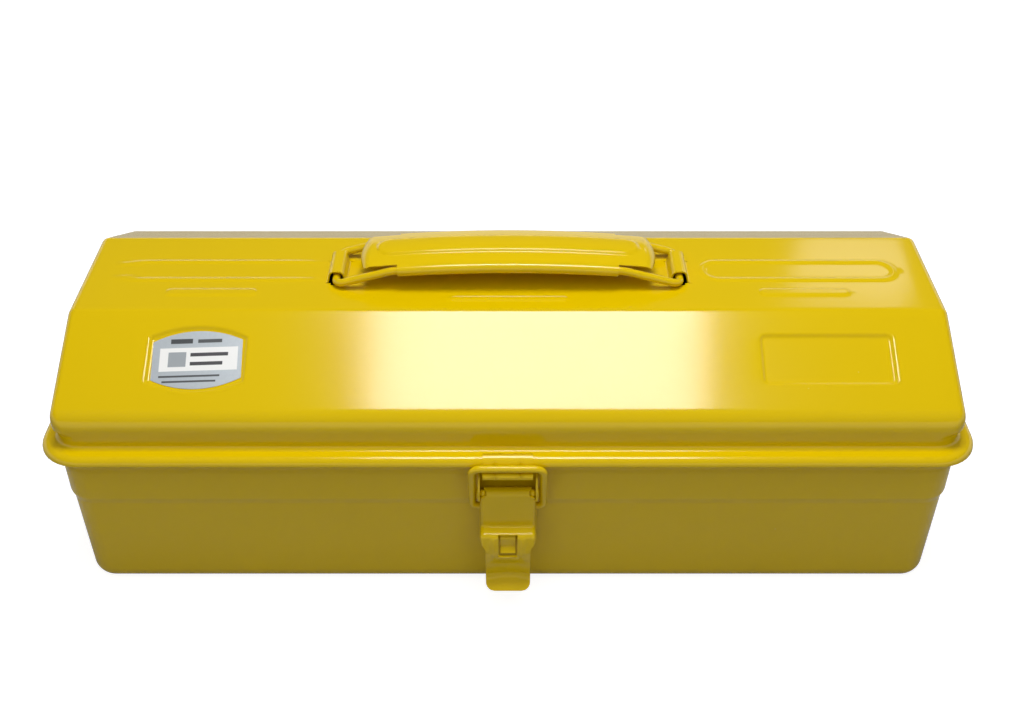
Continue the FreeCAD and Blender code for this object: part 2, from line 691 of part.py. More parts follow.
# ---- latch --------------------------------------------------------------------------
def latch_catch():
    """Hook plate welded over the lid's bead, with a shelf under the bail's bar."""
    half = HARDWARE_SHEET / 2
    face = -(RIM_DEPTH / 2 + half)
    over = RIM_Z + BEAD_RADIUS + half
    shelf = BAR_Z - BAIL_WIRE - BAR_DIP_GAP - half
    path = [
        (-(AXIS_Y + BEAD), over, 0),
        (face, over, BEAD_RADIUS + half),
        (face, shelf, SHEET),
        (BAR_Y - BAIL_WIRE - SEAT_GAP, shelf, 0),
    ]
    return across(strip(path, HARDWARE_SHEET, in_yz), HOOK_HALF_WIDTH)


def below_pin(line, y):
    """Path from (forward, below, bend) points, forward of y and below the lever's pin."""
    return [(y - forward, PIVOT_Z - below, bend) for forward, below, bend in line]


def latch_base():
    """Bracket on the body's front: back plate, two ears for the pin and a stop tongue."""
    plate_face = BAND_Y - HARDWARE_SHEET
    back = box(
        (-EAR_OUTER, plate_face, PIVOT_Z - PLATE_BELOW),
        (EAR_OUTER, BAND_Y, PIVOT_Z + PLATE_ABOVE),
    )
    ear = outline(
        [
            (PLATE_Y, PIVOT_Z + PLATE_ABOVE, 0),
            (PIVOT_Y + EAR_FRONT / 3, PIVOT_Z + PLATE_ABOVE, EAR_BEND),
            (PIVOT_Y - EAR_FRONT, PIVOT_Z + EAR_FRONT, EAR_BEND),
            (PIVOT_Y - EAR_FRONT, PIVOT_Z - EAR_FRONT, EAR_BEND),
            (PLATE_Y, PIVOT_Z - FOOT_TOP, 0),
        ],
        in_yz,
    )
    ear_solid = moved(ear, EAR_INNER).extrude(X_AXIS * HARDWARE_SHEET)
    foot = box(
        (EAR_OUTER, plate_face, PIVOT_Z - FOOT_TOP - FOOT_HEIGHT),
        (EAR_OUTER + FOOT_REACH, BAND_Y, PIVOT_Z - FOOT_TOP),
    )
    pieces = [back]
    pieces.extend(both_sides(ear_solid))
    pieces.extend(both_sides(foot))
    stop = strip(below_pin(STOP_LINE, PLATE_Y), HARDWARE_SHEET, in_yz)
    pieces.append(across(stop, STOP_WIDTH / 2))
    hole = rod(PIN_RADIUS, EAR_OUTER + PIN_HEAD, 0, PIVOT_Y, PIVOT_Z)
    return join(pieces).cut(hole)


def latch_pivot_pin():
    """Riveted pin through the bracket's ears."""
    pin = rod(PIN_RADIUS, EAR_OUTER, 0, PIVOT_Y, PIVOT_Z)
    centre = Vector(EAR_OUTER, PIVOT_Y, PIVOT_Z)
    head = Part.makeCylinder(PIN_RADIUS + PIN_HEAD_LIP, PIN_HEAD, centre, X_AXIS)
    return join([pin] + both_sides(head))


def lever_blank():
    """Flat-sided lever blade with its narrower tail and shoulders."""
    half = LEVER_WIDTH / 2
    tail = LEVER_TAIL_WIDTH / 2
    tip = PIVOT_Z - LEVER_LINE[-1][1] - HARDWARE_SHEET
    blade = across(strip(below_pin(LEVER_LINE, LEVER_FACE_Y), HARDWARE_SHEET, in_yz), half)
    deep = BAND_Y - HINGE_WIDTH
    for side in (-1, 1):
        edge = side * (half + SIDE_GAP)
        trim = outline(
            [
                (edge, tip, 0),
                (side * tail, tip, 0),
                (side * tail, PIVOT_Z - TAPER_LOW, 0),
                (side * half, PIVOT_Z - TAPER_TOP, 0),
                (edge, PIVOT_Z - TAPER_TOP, 0),
            ],
            in_xz,
        )
        blade = blade.cut(moved(trim, y=deep).extrude(Y_AXIS * HINGE_WIDTH))
        reach = sorted((side * ROLL_WIDTH / 2, edge))
        low = (reach[0], deep, PIVOT_Z - ROLL_DROP)
        blade = blade.cut(box(low, (reach[1], BAND_Y, PIVOT_Z + ROLL_DROP)))
    return blade


def latch_lever():
    """Over-centre lever: roll on the pin, cheeks for the bail, slotted bulge and lip."""
    half = LEVER_WIDTH / 2
    bore = PIN_RADIUS + RUNNING_GAP
    roll_face = ring(PIVOT_Y, PIVOT_Z, bore + HARDWARE_SHEET, bore, in_yz, X_AXIS)
    roll = across(roll_face, ROLL_WIDTH / 2)
    top = PIVOT_Z - CHEEK_DROP
    cheek = outline(
        [
            (LEVER_FACE_Y, top, 0),
            (LEVER_FACE_Y, PIVOT_Z - LEVER_LINE[1][1], 0),
        ]
        + [(BAIL_Y + back, BAIL_Z - below, bend) for back, below, bend in CHEEK_CORNERS]
        + [(BAIL_Y + CHEEK_TOP_BACK, top, CHEEK_TOP_BEND)],
        in_yz,
    )
    cheek_solid = moved(cheek, half - HARDWARE_SHEET).extrude(X_AXIS * HARDWARE_SHEET)
    lever = join([lever_blank(), roll] + both_sides(cheek_solid))
    slot_back = LEVER_FACE_Y - HARDWARE_SHEET
    slot = box(
        (-SLOT_WIDTH / 2, slot_back - LEVER_WIDTH / 2, PIVOT_Z - SLOT_LOW),
        (SLOT_WIDTH / 2, slot_back, PIVOT_Z - SLOT_TOP),
    )
    holes = rod(BAIL_WIRE + RUNNING_GAP, half, 0, BAIL_Y, BAIL_Z)
    return lever.cut(slot).cut(holes).cut(rod(bore, half, 0, PIVOT_Y, PIVOT_Z))


def latch_bail():
    """Wire bail: a bar over the hook's shelf and two arms that turn in to the lever."""
    inner = LEVER_WIDTH / 2 - HARDWARE_SHEET - BAIL_END_GAP
    corners = [
        (Vector(inner, BAIL_Y, BAIL_Z), 0),
        (Vector(BAIL_HALF_WIDTH, BAIL_Y, BAIL_Z), BAIL_FOOT_BEND),
        (Vector(BAIL_HALF_WIDTH, BAR_Y, BAR_Z), BAIL_TOP_BEND),
        (Vector(0, BAR_Y, BAR_Z), 0),
    ]
    return join(both_sides(wire_along(corners, BAIL_WIRE)))


# ---- hinges -------------------------------------------------------------------------
def hinge_leaf(path, x, tabs, fixed):
    """Leaf bent to the path, with knuckle tabs given as (low, high) along the pin."""
    half = HINGE_WIDTH / 2
    leaf = across(strip(path, HARDWARE_SHEET, in_yz), half, x)
    bore = HINGE_PIN_RADIUS if fixed else HINGE_PIN_RADIUS + RUNNING_GAP
    knuckle = ring(HINGE_Y, HINGE_Z, KNUCKLE_RADIUS, bore, in_yz, X_AXIS)
    knuckles = []
    free = [-half]
    for low, high in tabs:
        knuckles.append(moved(knuckle, x + low).extrude(X_AXIS * (high - low)))
        free.extend([low, high])
    free.append(half)
    for low, high in zip(free[::2], free[1::2]):
        if high - low > 1e-6:
            reach = KNUCKLE_RADIUS + SIDE_GAP + HARDWARE_SHEET
            notch = box(
                (x + low, HINGE_Y - reach, HINGE_Z - 2 * reach),
                (x + high, HINGE_Y + reach, HINGE_Z + 2 * reach),
            )
            leaf = leaf.cut(notch)
    eye = rod(bore, half + SIDE_GAP, x, HINGE_Y, HINGE_Z)
    return join([leaf] + knuckles).cut(eye)


def hinge_body_leaf(x):
    """Leaf welded to the body's back, with the two outer knuckles."""
    wall = AXIS_Y + BAND + HARDWARE_SHEET / 2
    eye = HINGE_Z - KNUCKLE_RADIUS + HARDWARE_SHEET / 2
    path = [
        (HINGE_Y, eye, 0),
        (wall, eye - BODY_LEAF_SLOPE, LEAF_BEND),
        (wall, RIM_Z - BODY_LEAF_DROP, 0),
    ]
    inner = HINGE_MIDDLE / 2 + SEAT_GAP
    outer = HINGE_WIDTH / 2
    return hinge_leaf(path, x, [(-outer, -inner), (inner, outer)], True)


def hinge_lid_leaf(x):
    """Leaf welded to the lid's rear skirt, with the middle knuckle."""
    skirt = LID_HALF_DEPTH + HARDWARE_SHEET / 2
    eye = HINGE_Z + KNUCKLE_RADIUS - HARDWARE_SHEET / 2
    path = [
        (HINGE_Y, eye, 0),
        (skirt, eye + LID_LEAF_SLOPE, LEAF_BEND),
        (skirt, FOLD_Z - LID_LEAF_MARGIN, 0),
    ]
    return hinge_leaf(path, x, [(-HINGE_MIDDLE / 2, HINGE_MIDDLE / 2)], False)


def hinge_pin(x):
    """Pin pressed in the body leaf's knuckles."""
    return rod(HINGE_PIN_RADIUS, HINGE_WIDTH / 2, x, HINGE_Y, HINGE_Z)


# ---- output -------------------------------------------------------------------------
def build_all():
    """Every sub-part by node name."""
    parts = {
        "body_shell": body_shell(),
        "tray_pan": tray_pan(),
        "lid_shell": lid_shell(),
        "label_plate": label_plate(),
        "handle_wire": handle_wire(),
        "handle_grip": handle_grip(),
        "latch_catch": latch_catch(),
        "latch_base": latch_base(),
        "latch_pivot_pin": latch_pivot_pin(),
        "latch_lever": latch_lever(),
        "latch_bail": latch_bail(),
    }
    for side, x in (("left", -HINGE_X), ("right", HINGE_X)):
        parts[f"hinge_body_leaf_{side}"] = hinge_body_leaf(x)
        parts[f"hinge_lid_leaf_{side}"] = hinge_lid_leaf(x)
        parts[f"hinge_pin_{side}"] = hinge_pin(x)
    return parts


os.makedirs("parts", exist_ok=True)
for name, shape in build_all().items():
    shape.exportStep(f"parts/{name}.step")
    size = shape.optimalBoundingBox()
    print(f"{name}: {len(shape.Solids)} solid, valid {shape.isValid()}, volume {shape.Volume:.0f}")
    print(f"  x {size.XMin:.2f} {size.XMax:.2f}  y {size.YMin:.2f} {size.YMax:.2f}", end="")
    print(f"  z {size.ZMin:.2f} {size.ZMax:.2f}")
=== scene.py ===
"""Toolbox with tray: enamelled pressed-steel shells, handle, latch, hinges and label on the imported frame."""

import logging
import math
from collections.abc import Iterable, Sequence
from dataclasses import dataclass
from enum import Enum

import bmesh
import bpy
import numpy as np
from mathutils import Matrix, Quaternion, Vector


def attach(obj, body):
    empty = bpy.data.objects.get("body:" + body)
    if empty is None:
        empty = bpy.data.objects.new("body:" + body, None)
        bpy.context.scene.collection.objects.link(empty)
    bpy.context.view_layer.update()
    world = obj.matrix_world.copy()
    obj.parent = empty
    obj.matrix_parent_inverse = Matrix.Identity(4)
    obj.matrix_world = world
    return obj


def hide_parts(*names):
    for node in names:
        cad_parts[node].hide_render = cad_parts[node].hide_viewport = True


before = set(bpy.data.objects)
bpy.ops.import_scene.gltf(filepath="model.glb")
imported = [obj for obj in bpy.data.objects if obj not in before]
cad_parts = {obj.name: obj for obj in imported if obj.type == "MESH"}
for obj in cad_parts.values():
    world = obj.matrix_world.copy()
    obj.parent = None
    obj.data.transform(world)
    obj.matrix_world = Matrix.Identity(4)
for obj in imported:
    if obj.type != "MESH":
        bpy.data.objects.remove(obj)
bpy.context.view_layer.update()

LOG = logging.getLogger("toolbox")
MM = 0.001                  # the sizes below are millimetres, Blender's are metres
MERGE_DISTANCE = 0.002      # points nearer than this are one point
MARK_GAP = 0.04             # a mark this near to a point of a line needs no point of its own
WIRE_SIDES = 20
LATHE_SIDES = 28
EDGE_SEGMENTS = 3
EDGE_ANGLE = 38.0           # degrees; sharper edges than this are rounded

Array = np.ndarray
Line = tuple[Array, Array]                  # points and their normals
Corner = tuple[float, float, float]         # a place and its bend radius, or x, y and z
Span = tuple[float, float, float]           # start, end and step
Socket = bpy.types.NodeSocket
Colour = tuple[float, float, float, float]


class Body(Enum):
    """The moving bodies of the frame."""

    BOX = "box"
    TRAY = "tray"
    LID = "lid"
    HANDLE = "handle"
    LEVER = "lever"
    BAIL = "bail"


class Slot(Enum):
    """The record's material slots."""

    ENAMEL = "enamel"
    TRAY = "tray_enamel"
    HANDLE = "handle_enamel"
    HARDWARE = "hardware_enamel"
    LABEL = "label_film"


Finish = tuple[Slot, bpy.types.Material]


# ---- drawing ------------------------------------------------------------------------
def ease(value: Array, start: float, end: float) -> Array:
    """Smooth step.

    Args:
        value: values to map.
        start: value that gives 0.
        end: value that gives 1, above or below start.

    Returns:
        Values from 0 to 1, level at both ends.
    """
    share = np.clip((value - start) / (end - start), 0.0, 1.0)
    return share * share * (3.0 - 2.0 * share)


def turned(vector: Array, angle: float) -> Array:
    """The plane vector turned to the left by an angle in radians."""
    cos, sin = math.cos(angle), math.sin(angle)
    return np.array((vector[0] * cos - vector[1] * sin, vector[0] * sin + vector[1] * cos))


def bent_line(corners: Sequence[Corner], arc_step: float = 8.0) -> Line:
    """Points along a line through corners, each rounded by its own bend.

    Args:
        corners: (u, v, bend radius) of each corner.
        arc_step: degrees of turn between points on a bend.

    Returns:
        The points and the unit normals on their left, one row each.
    """
    places = [np.array(corner[:2], float) for corner in corners]
    points: list[Array] = []
    normals: list[Array] = []

    def add(point: Array, normal: Array) -> None:
        """Keep a point unless it is there already."""
        if not points or np.linalg.norm(point - points[-1]) > MERGE_DISTANCE:
            points.append(point)
            normals.append(normal)

    for index in range(1, len(places)):
        heading = places[index] - places[index - 1]
        heading /= np.linalg.norm(heading)
        normal = turned(heading, math.pi / 2)
        add(points[-1] if points else places[0], normal)
        if index + 1 == len(places):
            add(places[index], normal)
            break
        onward = places[index + 1] - places[index]
        onward /= np.linalg.norm(onward)
        cross = heading[0] * onward[1] - heading[1] * onward[0]
        turn = math.atan2(cross, float(heading @ onward))
        radius = corners[index][2]
        start = places[index] - heading * radius * abs(math.tan(turn / 2))
        add(start, normal)
        if radius > 0:
            side = math.copysign(1.0, turn)
            centre = start + normal * side * radius
            steps = max(2, math.ceil(abs(math.degrees(turn)) / arc_step))
            for step in range(1, steps + 1):
                lean = turned(normal, turn * step / steps)
                add(centre - lean * side * radius, lean)
    return np.array(points), np.array(normals)


def with_marks(line: Line, marks: Iterable[float], axis: int = 0) -> Line:
    """A line with more points, where it passes given places.

    Args:
        line: points and normals.
        marks: coordinates to add points at.
        axis: which coordinate the marks are.

    Returns:
        The points and normals, with the marks in order between them.
    """
    points, normals = [line[0][0]], [line[1][0]]
    for start, end, first, last in zip(line[0], line[0][1:], line[1], line[1][1:]):
        low, high = sorted((start[axis], end[axis]))
        inside = sorted(mark for mark in marks if low + MARK_GAP < mark < high - MARK_GAP)
        for mark in inside if end[axis] > start[axis] else inside[::-1]:
            share = (mark - start[axis]) / (end[axis] - start[axis])
            normal = first + (last - first) * share
            points.append(start + (end - start) * share)
            normals.append(normal / np.linalg.norm(normal))
        points.append(end)
        normals.append(last)
    return np.array(points), np.array(normals)


def lines(*spans: Span, keep: Iterable[float] = (), gap: float = 0.2) -> Array:
    """Positions for grid lines.

    Args:
        spans: (start, end, step) of evenly spaced runs.
        keep: positions that must be there exactly.
        gap: smallest distance from a kept position or from the line before.

    Returns:
        Sorted positions.
    """
    fixed = sorted(set(keep))
    chosen = list(fixed)
    for start, end, step in spans:
        for value in np.linspace(start, end, max(2, round((end - start) / step) + 1)):
            if all(abs(value - other) > gap for other in chosen):
                chosen.append(float(value))
    return np.array(sorted(chosen))


def mirrored(values: Iterable[float]) -> list[float]:
    """The values and their negatives."""
    return sorted({side * value for value in values for side in (-1, 1)})


def flipped(points: Iterable[Vector], x: int, y: int) -> list[Vector]:
    """The points with x and y multiplied by 1 or -1."""
    return [Vector((point.x * x, point.y * y, point.z)) for point in points]


def whole_turn(steps: int) -> list[float]:
    """Angles in radians, evenly spaced once round."""
    return [2 * math.pi * step / steps for step in range(steps)]


def place_in_scene(name: str, data: bpy.types.ID) -> bpy.types.Object:
    """A new object of the scene that shows the data."""
    item = bpy.data.objects.new(name, data)
    bpy.context.scene.collection.objects.link(item)
    return item


def along_run(corners: Sequence[tuple[Vector, float]], arc_step: float = 8.0) -> list[Vector]:
    """Points along a wire's middle line.

    Args:
        corners: (point, bend radius) of each corner.
        arc_step: degrees of turn between points on a bend.

    Returns:
        The points in order.
    """
    points = [corners[0][0]]
    for (before, _), (corner, radius), (after, _) in zip(corners, corners[1:], corners[2:]):
        back, ahead = (before - corner).normalized(), (after - corner).normalized()
        half = back.angle(ahead) / 2
        centre = corner + (back + ahead).normalized() * (radius / math.sin(half))
        spoke = corner + back * (radius / math.tan(half)) - centre
        axis = back.cross(spoke).normalized()
        turn = math.pi - 2 * half
        steps = max(2, math.ceil(math.degrees(turn) / arc_step))
        for step in range(steps + 1):
            lean = spoke.copy()
            lean.rotate(Quaternion(axis, turn * step / steps))
            points.append(centre + lean)
    points.append(corners[-1][0])
    return points


def box_distance(u: Array, v: Array, half_u: float, half_v: float, radius: float) -> Array:
    """Signed distance to a rectangle with rounded corners.

    Args:
        u: distances from its middle.
        v: distances from its middle, the other way.
        half_u: half of its length.
        half_v: half of its width.
        radius: corner radius.

    Returns:
        Distances, negative inside.
    """
    du = np.abs(u) - half_u + radius
    dv = np.abs(v) - half_v + radius
    outside = np.hypot(np.maximum(du, 0), np.maximum(dv, 0))
    return outside + np.minimum(np.maximum(du, dv), 0) - radius


class Skin:
    """The faces of one piece while it is built, in millimetres."""

    def __init__(self) -> None:
        """Start with no faces."""
        self.points: list[Array] = []
        self.faces: list[tuple[int, ...]] = []
        self.places: dict[int, tuple[float, float]] = {}
        self.total = 0

    def add(self, points: Array) -> int:
        """Keep points.

        Args:
            points: places, the last axis is x, y, z.

        Returns:
            The number of the first one.
        """
        start = self.total
        self.points.append(np.asarray(points, float).reshape(-1, 3))
        self.total += len(self.points[-1])
        return start

    def grid(
        self, points: Array, keep: Array | None = None, closed: bool = False, flip: bool = False
    ) -> None:
        """Faces between neighbouring points of a grid; they face columns x rows.

        Args:
            points: rows, columns, xyz.
            keep: which cells have a face, all of them if not given.
            closed: whether the last column meets the first.
            flip: whether the faces look the other way.
        """
        rows, columns = points.shape[:2]
        start = self.add(points)
        for row in range(rows - 1):
            for column in range(columns if closed else columns - 1):
                if keep is not None and not keep[row, column]:
                    continue
                here = start + row * columns
                first, second = here + column, here + (column + 1) % columns
                face = (first, second, second + columns, first + columns)
                self.faces.append(face[::-1] if flip else face)

    def polygon(self, points: Array) -> None:
        """One face through the points in order."""
        start = self.add(points)
        self.faces.append(tuple(range(start, self.total)))

    def tube(self, path: Sequence[Vector], radius: float, flat: Vector, closed: bool = False) -> None:
        """A round wire.

        Args:
            path: its middle line.
            radius: its radius.
            flat: a direction that the path never follows.
            closed: whether the end meets the start.
        """
        count = len(path)
        turns = whole_turn(WIRE_SIDES)
        rings = []
        for index, point in enumerate(path):
            before = path[index - 1] if closed or index else point
            after = path[(index + 1) % count] if closed or index + 1 < count else point
            heading = (after - before).normalized()
            side = flat.cross(heading).normalized()
            rise = heading.cross(side)
            rings.append([point + (side * math.cos(t) + rise * math.sin(t)) * radius for t in turns])
        if closed:
            rings.append(rings[0])
        self.grid(np.array(rings), closed=True)
        if not closed:
            self.polygon(np.array(rings[0][::-1]))
            self.polygon(np.array(rings[-1]))

    def lathe(self, outline: Sequence[tuple[float, float]], y: float, z: float) -> None:
        """A turned shape round a line along X.

        Args:
            outline: (x, radius) from end to end.
            y: where the line is.
            z: where the line is.
        """
        turns = whole_turn(LATHE_SIDES)
        rings = [[(x, y + r * math.cos(t), z + r * math.sin(t)) for t in turns] for x, r in outline]
        self.grid(np.array(rings), closed=True, flip=True)

    def mesh(self, name: str) -> bpy.types.Mesh:
        """The faces as a mesh in metres."""
        mesh = bpy.data.meshes.new(name)
        mesh.from_pydata((np.concatenate(self.points) * MM).tolist(), [], self.faces)
        return mesh

    def piece(
        self,
        name: str,
        body: Body,
        finish: Finish,
        nodes: Sequence[str] = (),
        sheet: float = 0.0,
        lean: float = -1.0,
        edge: float = 0.0,
        even: bool = True,
    ) -> bpy.types.Object:
        """Make the piece and hang it on its body.

        Args:
            name: object name.
            body: the body it moves with.
            finish: material slot and material.
            nodes: CAD nodes that it stands for.
            sheet: thickness to add, none if 0.
            lean: -1 adds it behind the faces, 0 half on each side, 1 in front.
            edge: radius of the cut edges.
            even: whether the thickness is kept even round sharp bends.

        Returns:
            The finished object.
        """
        mesh = self.mesh(name)
        work = bmesh.new()
        work.from_mesh(mesh)
        bmesh.ops.remove_doubles(work, verts=work.verts, dist=MERGE_DISTANCE * MM)
        loose = [vertex for vertex in work.verts if not vertex.link_faces]
        bmesh.ops.delete(work, geom=loose, context="VERTS")
        work.to_mesh(mesh)
        work.free()
        mesh.shade_smooth()
        piece = place_in_scene(name, mesh)
        if sheet > 0:
            thicken = piece.modifiers.new("Sheet", "SOLIDIFY")
            thicken.thickness = sheet * MM
            thicken.offset = lean
            thicken.use_even_offset = even
            thicken.use_quality_normals = even
        if edge > 0:
            soften = piece.modifiers.new("Edges", "BEVEL")
            soften.width = edge * MM
            soften.segments = EDGE_SEGMENTS
            soften.limit_method = "ANGLE"
            soften.angle_limit = math.radians(EDGE_ANGLE)
            soften.harden_normals = True
        mesh.materials.append(finish[1])
        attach(piece, body.value)
        if nodes:
            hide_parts(*nodes)
        LOG.info("built %s with %d faces", name, len(mesh.polygons))
        return piece


# ---- shells -------------------------------------------------------------------------
@dataclass(frozen=True)
class Plan:
    """The rounded rectangle that body, tray and lid rim all follow, as its corner axes.

    Attributes:
        x: corner axes, from the middle along X.
        y: corner axes, from the middle along Y.
    """

    x: float = 162.5
    y: float = 58.0

    def stations(self, step: float = 15.0, turns: int = 12) -> tuple[Array, Array]:
        """Points once round the rectangle of the corner axes.

        Args:
            step: distance between them on the straights.
            turns: steps round each corner.

        Returns:
            The points and the directions outward.
        """
        bases, outward = [], []
        corners = [(self.x, -self.y), (self.x, self.y), (-self.x, self.y), (-self.x, -self.y)]
        for quarter, corner in enumerate(corners):
            before = corners[quarter - 1]
            facing = math.pi / 2 * (quarter - 1)
            length = math.dist(before, corner)
            count = round(length / step)
            for index in range(1, count):
                share = index / count
                bases.append([a + (b - a) * share for a, b in zip(before, corner)])
                outward.append((math.cos(facing), math.sin(facing)))
            for index in range(turns + 1):
                angle = facing + math.pi / 2 * index / turns
                bases.append(list(corner))
                outward.append((math.cos(angle), math.sin(angle)))
        return np.array(bases), np.array(outward)

    @staticmethod
    def rings(bases: Array, outward: Array, section: Array) -> Array:
        """A section carried round the plan.

        Args:
            bases: points of the corner axes' rectangle.
            outward: direction outward at each.
            section: (distance outward, height) rows.

        Returns:
            Rows of points, one row for each point of the section.
        """
        flat = bases[None] + outward[None] * section[:, None, :1]
        height = np.broadcast_to(section[:, None, 1:], (*flat.shape[:2], 1))
        return np.concatenate([flat, height], axis=2)


def rolled_edge(wall: float, height: float, radius: float, sheet: float) -> list[Corner]:
    """End of a section that rolls outward from the wall.

    Args:
        wall: middle of the wall's sheet, out from the corner axes.
        height: middle of the roll.
        radius: outside radius of the roll.
        sheet: thickness.

    Returns:
        Corners of the section.
    """
    mean = radius - sheet / 2
    return [
        (wall, height + mean, mean),
        (wall + 2 * mean, height + mean, mean),
        (wall + 2 * mean, height - mean, mean),
        (wall + mean - 0.3, height - mean, 0),
    ]


def pan(skin: Skin, plan: Plan, corners: Sequence[Corner]) -> None:
    """Build a shell with a flat floor.

    Args:
        skin: takes the faces.
        plan: the shell's outline.
        corners: section from the floor out and up, the middle of the sheet.
    """
    section = bent_line(corners)[0]
    bases, outward = plan.stations()
    rings = plan.rings(bases, outward, section)
    skin.grid(rings, closed=True)
    skin.polygon(rings[0][::-1])


@dataclass
class BodyShell:
    """Deep-drawn body with a ledge for the tray, a soft crease and a rolled rim."""

    plan: Plan
    sheet: float = 0.6
    band: float = 11.0
    ledge_step: float = 1.0
    ledge_low: float = 45.5
    ledge_rise: float = 3.0
    ledge_bend: float = 3.6
    draft: float = 0.9
    base_bend: float = 8.0
    crease: float = 63.6
    crease_depth: float = 0.3
    curl_height: float = 70.2
    curl_radius: float = 2.6

    def build(self, finish: Finish) -> None:
        """Add the body to the scene."""
        half = self.sheet / 2
        low = self.band - self.ledge_step - half
        wall = self.band - half
        corners = [
            (0, half, 0),
            (1.0, half, 0),
            (low - self.draft, half, self.base_bend - half),
            (low, self.ledge_low, self.ledge_bend),
            (wall, self.ledge_low + self.ledge_rise, self.ledge_bend),
            (wall, self.crease - 1.6, 2.5),
            (wall - self.crease_depth, self.crease, 1.5),
            (wall, self.crease + 1.6, 1.5),
        ] + rolled_edge(wall, self.curl_height, self.curl_radius, self.sheet)
        skin = Skin()
        pan(skin, self.plan, corners)
        skin.piece("box_shell", Body.BOX, finish, ["body_shell"], self.sheet, 0.0, 0.2)


@dataclass
class TrayPan:
    """Lift-out tray that hangs on the body's ledge."""

    plan: Plan
    sheet: float = 0.6
    rim_height: float = 48.59
    curl: float = 8.2
    curl_radius: float = 1.8
    depth: float = 22.0
    draft: float = 1.0
    bend: float = 4.0

    def build(self, finish: Finish) -> None:
        """Add the tray to the scene."""
        half = self.sheet / 2
        wall = self.curl - self.curl_radius + half
        floor = self.rim_height - self.depth
        corners = [
            (0.0, floor + half, 0),
            (0.5, floor + half, 0),
            (wall - self.draft, floor + half, self.bend),
        ] + rolled_edge(wall, self.rim_height, self.curl_radius, self.sheet)
        skin = Skin()
        pan(skin, self.plan, corners)
        skin.piece("tray_shell", Body.TRAY, finish, ["tray_pan"], self.sheet, 0.0, 0.2)


@dataclass(frozen=True)
class Slant:
    """The lid's front slanted face as a drawing plane: u runs along X and v down the slope."""

    crease_y: float = 26.5
    top: float = 109.0
    angle: float = 0.48351
    middle: float = 45.2

    def down(self, y: Array) -> Array:
        """Distance down the slope from the drawing's middle line, for places y."""
        return (-y - self.middle) / math.cos(self.angle)

    def place(self, u: Array, v: Array, rise: Array | float) -> Array:
        """Points on the slope.

        Args:
            u: X places.
            v: distances down the slope from the middle line.
            rise: heights over the face.

        Returns:
            x, y, z rows.
        """
        away = self.middle + v * math.cos(self.angle)
        height = self.top - (away - self.crease_y) * math.tan(self.angle)
        u = np.asarray(u, float)
        y = -away - rise * math.sin(self.angle)
        z = height + rise * math.cos(self.angle)
        return np.stack(np.broadcast_arrays(u, y, z), axis=-1)


@dataclass(frozen=True)
class Barrel:
    """The label's outline: straight ends and arched long edges."""

    x: float = -118.9
    length: float = 35.0
    side: float = 16.3
    arch: float = 4.4

    def half_height(self, u: Array, grow: float = 0.0) -> Array:
        """Half height of the outline at distances u from its middle, grown on all sides."""
        half = self.length / 2 + grow
        radius = (half * half + self.arch * self.arch) / (2 * self.arch)
        bow = np.sqrt(np.maximum(radius * radius - u * u, 0)) - radius + self.arch
        return self.side / 2 + grow + bow

    def distance(self, u: Array, v: Array, grow: float) -> Array:
        """About the signed distance to the grown outline, negative inside."""
        across = np.abs(u) - self.length / 2 - grow
        return np.maximum(across, np.abs(v) - self.half_height(u, grow))


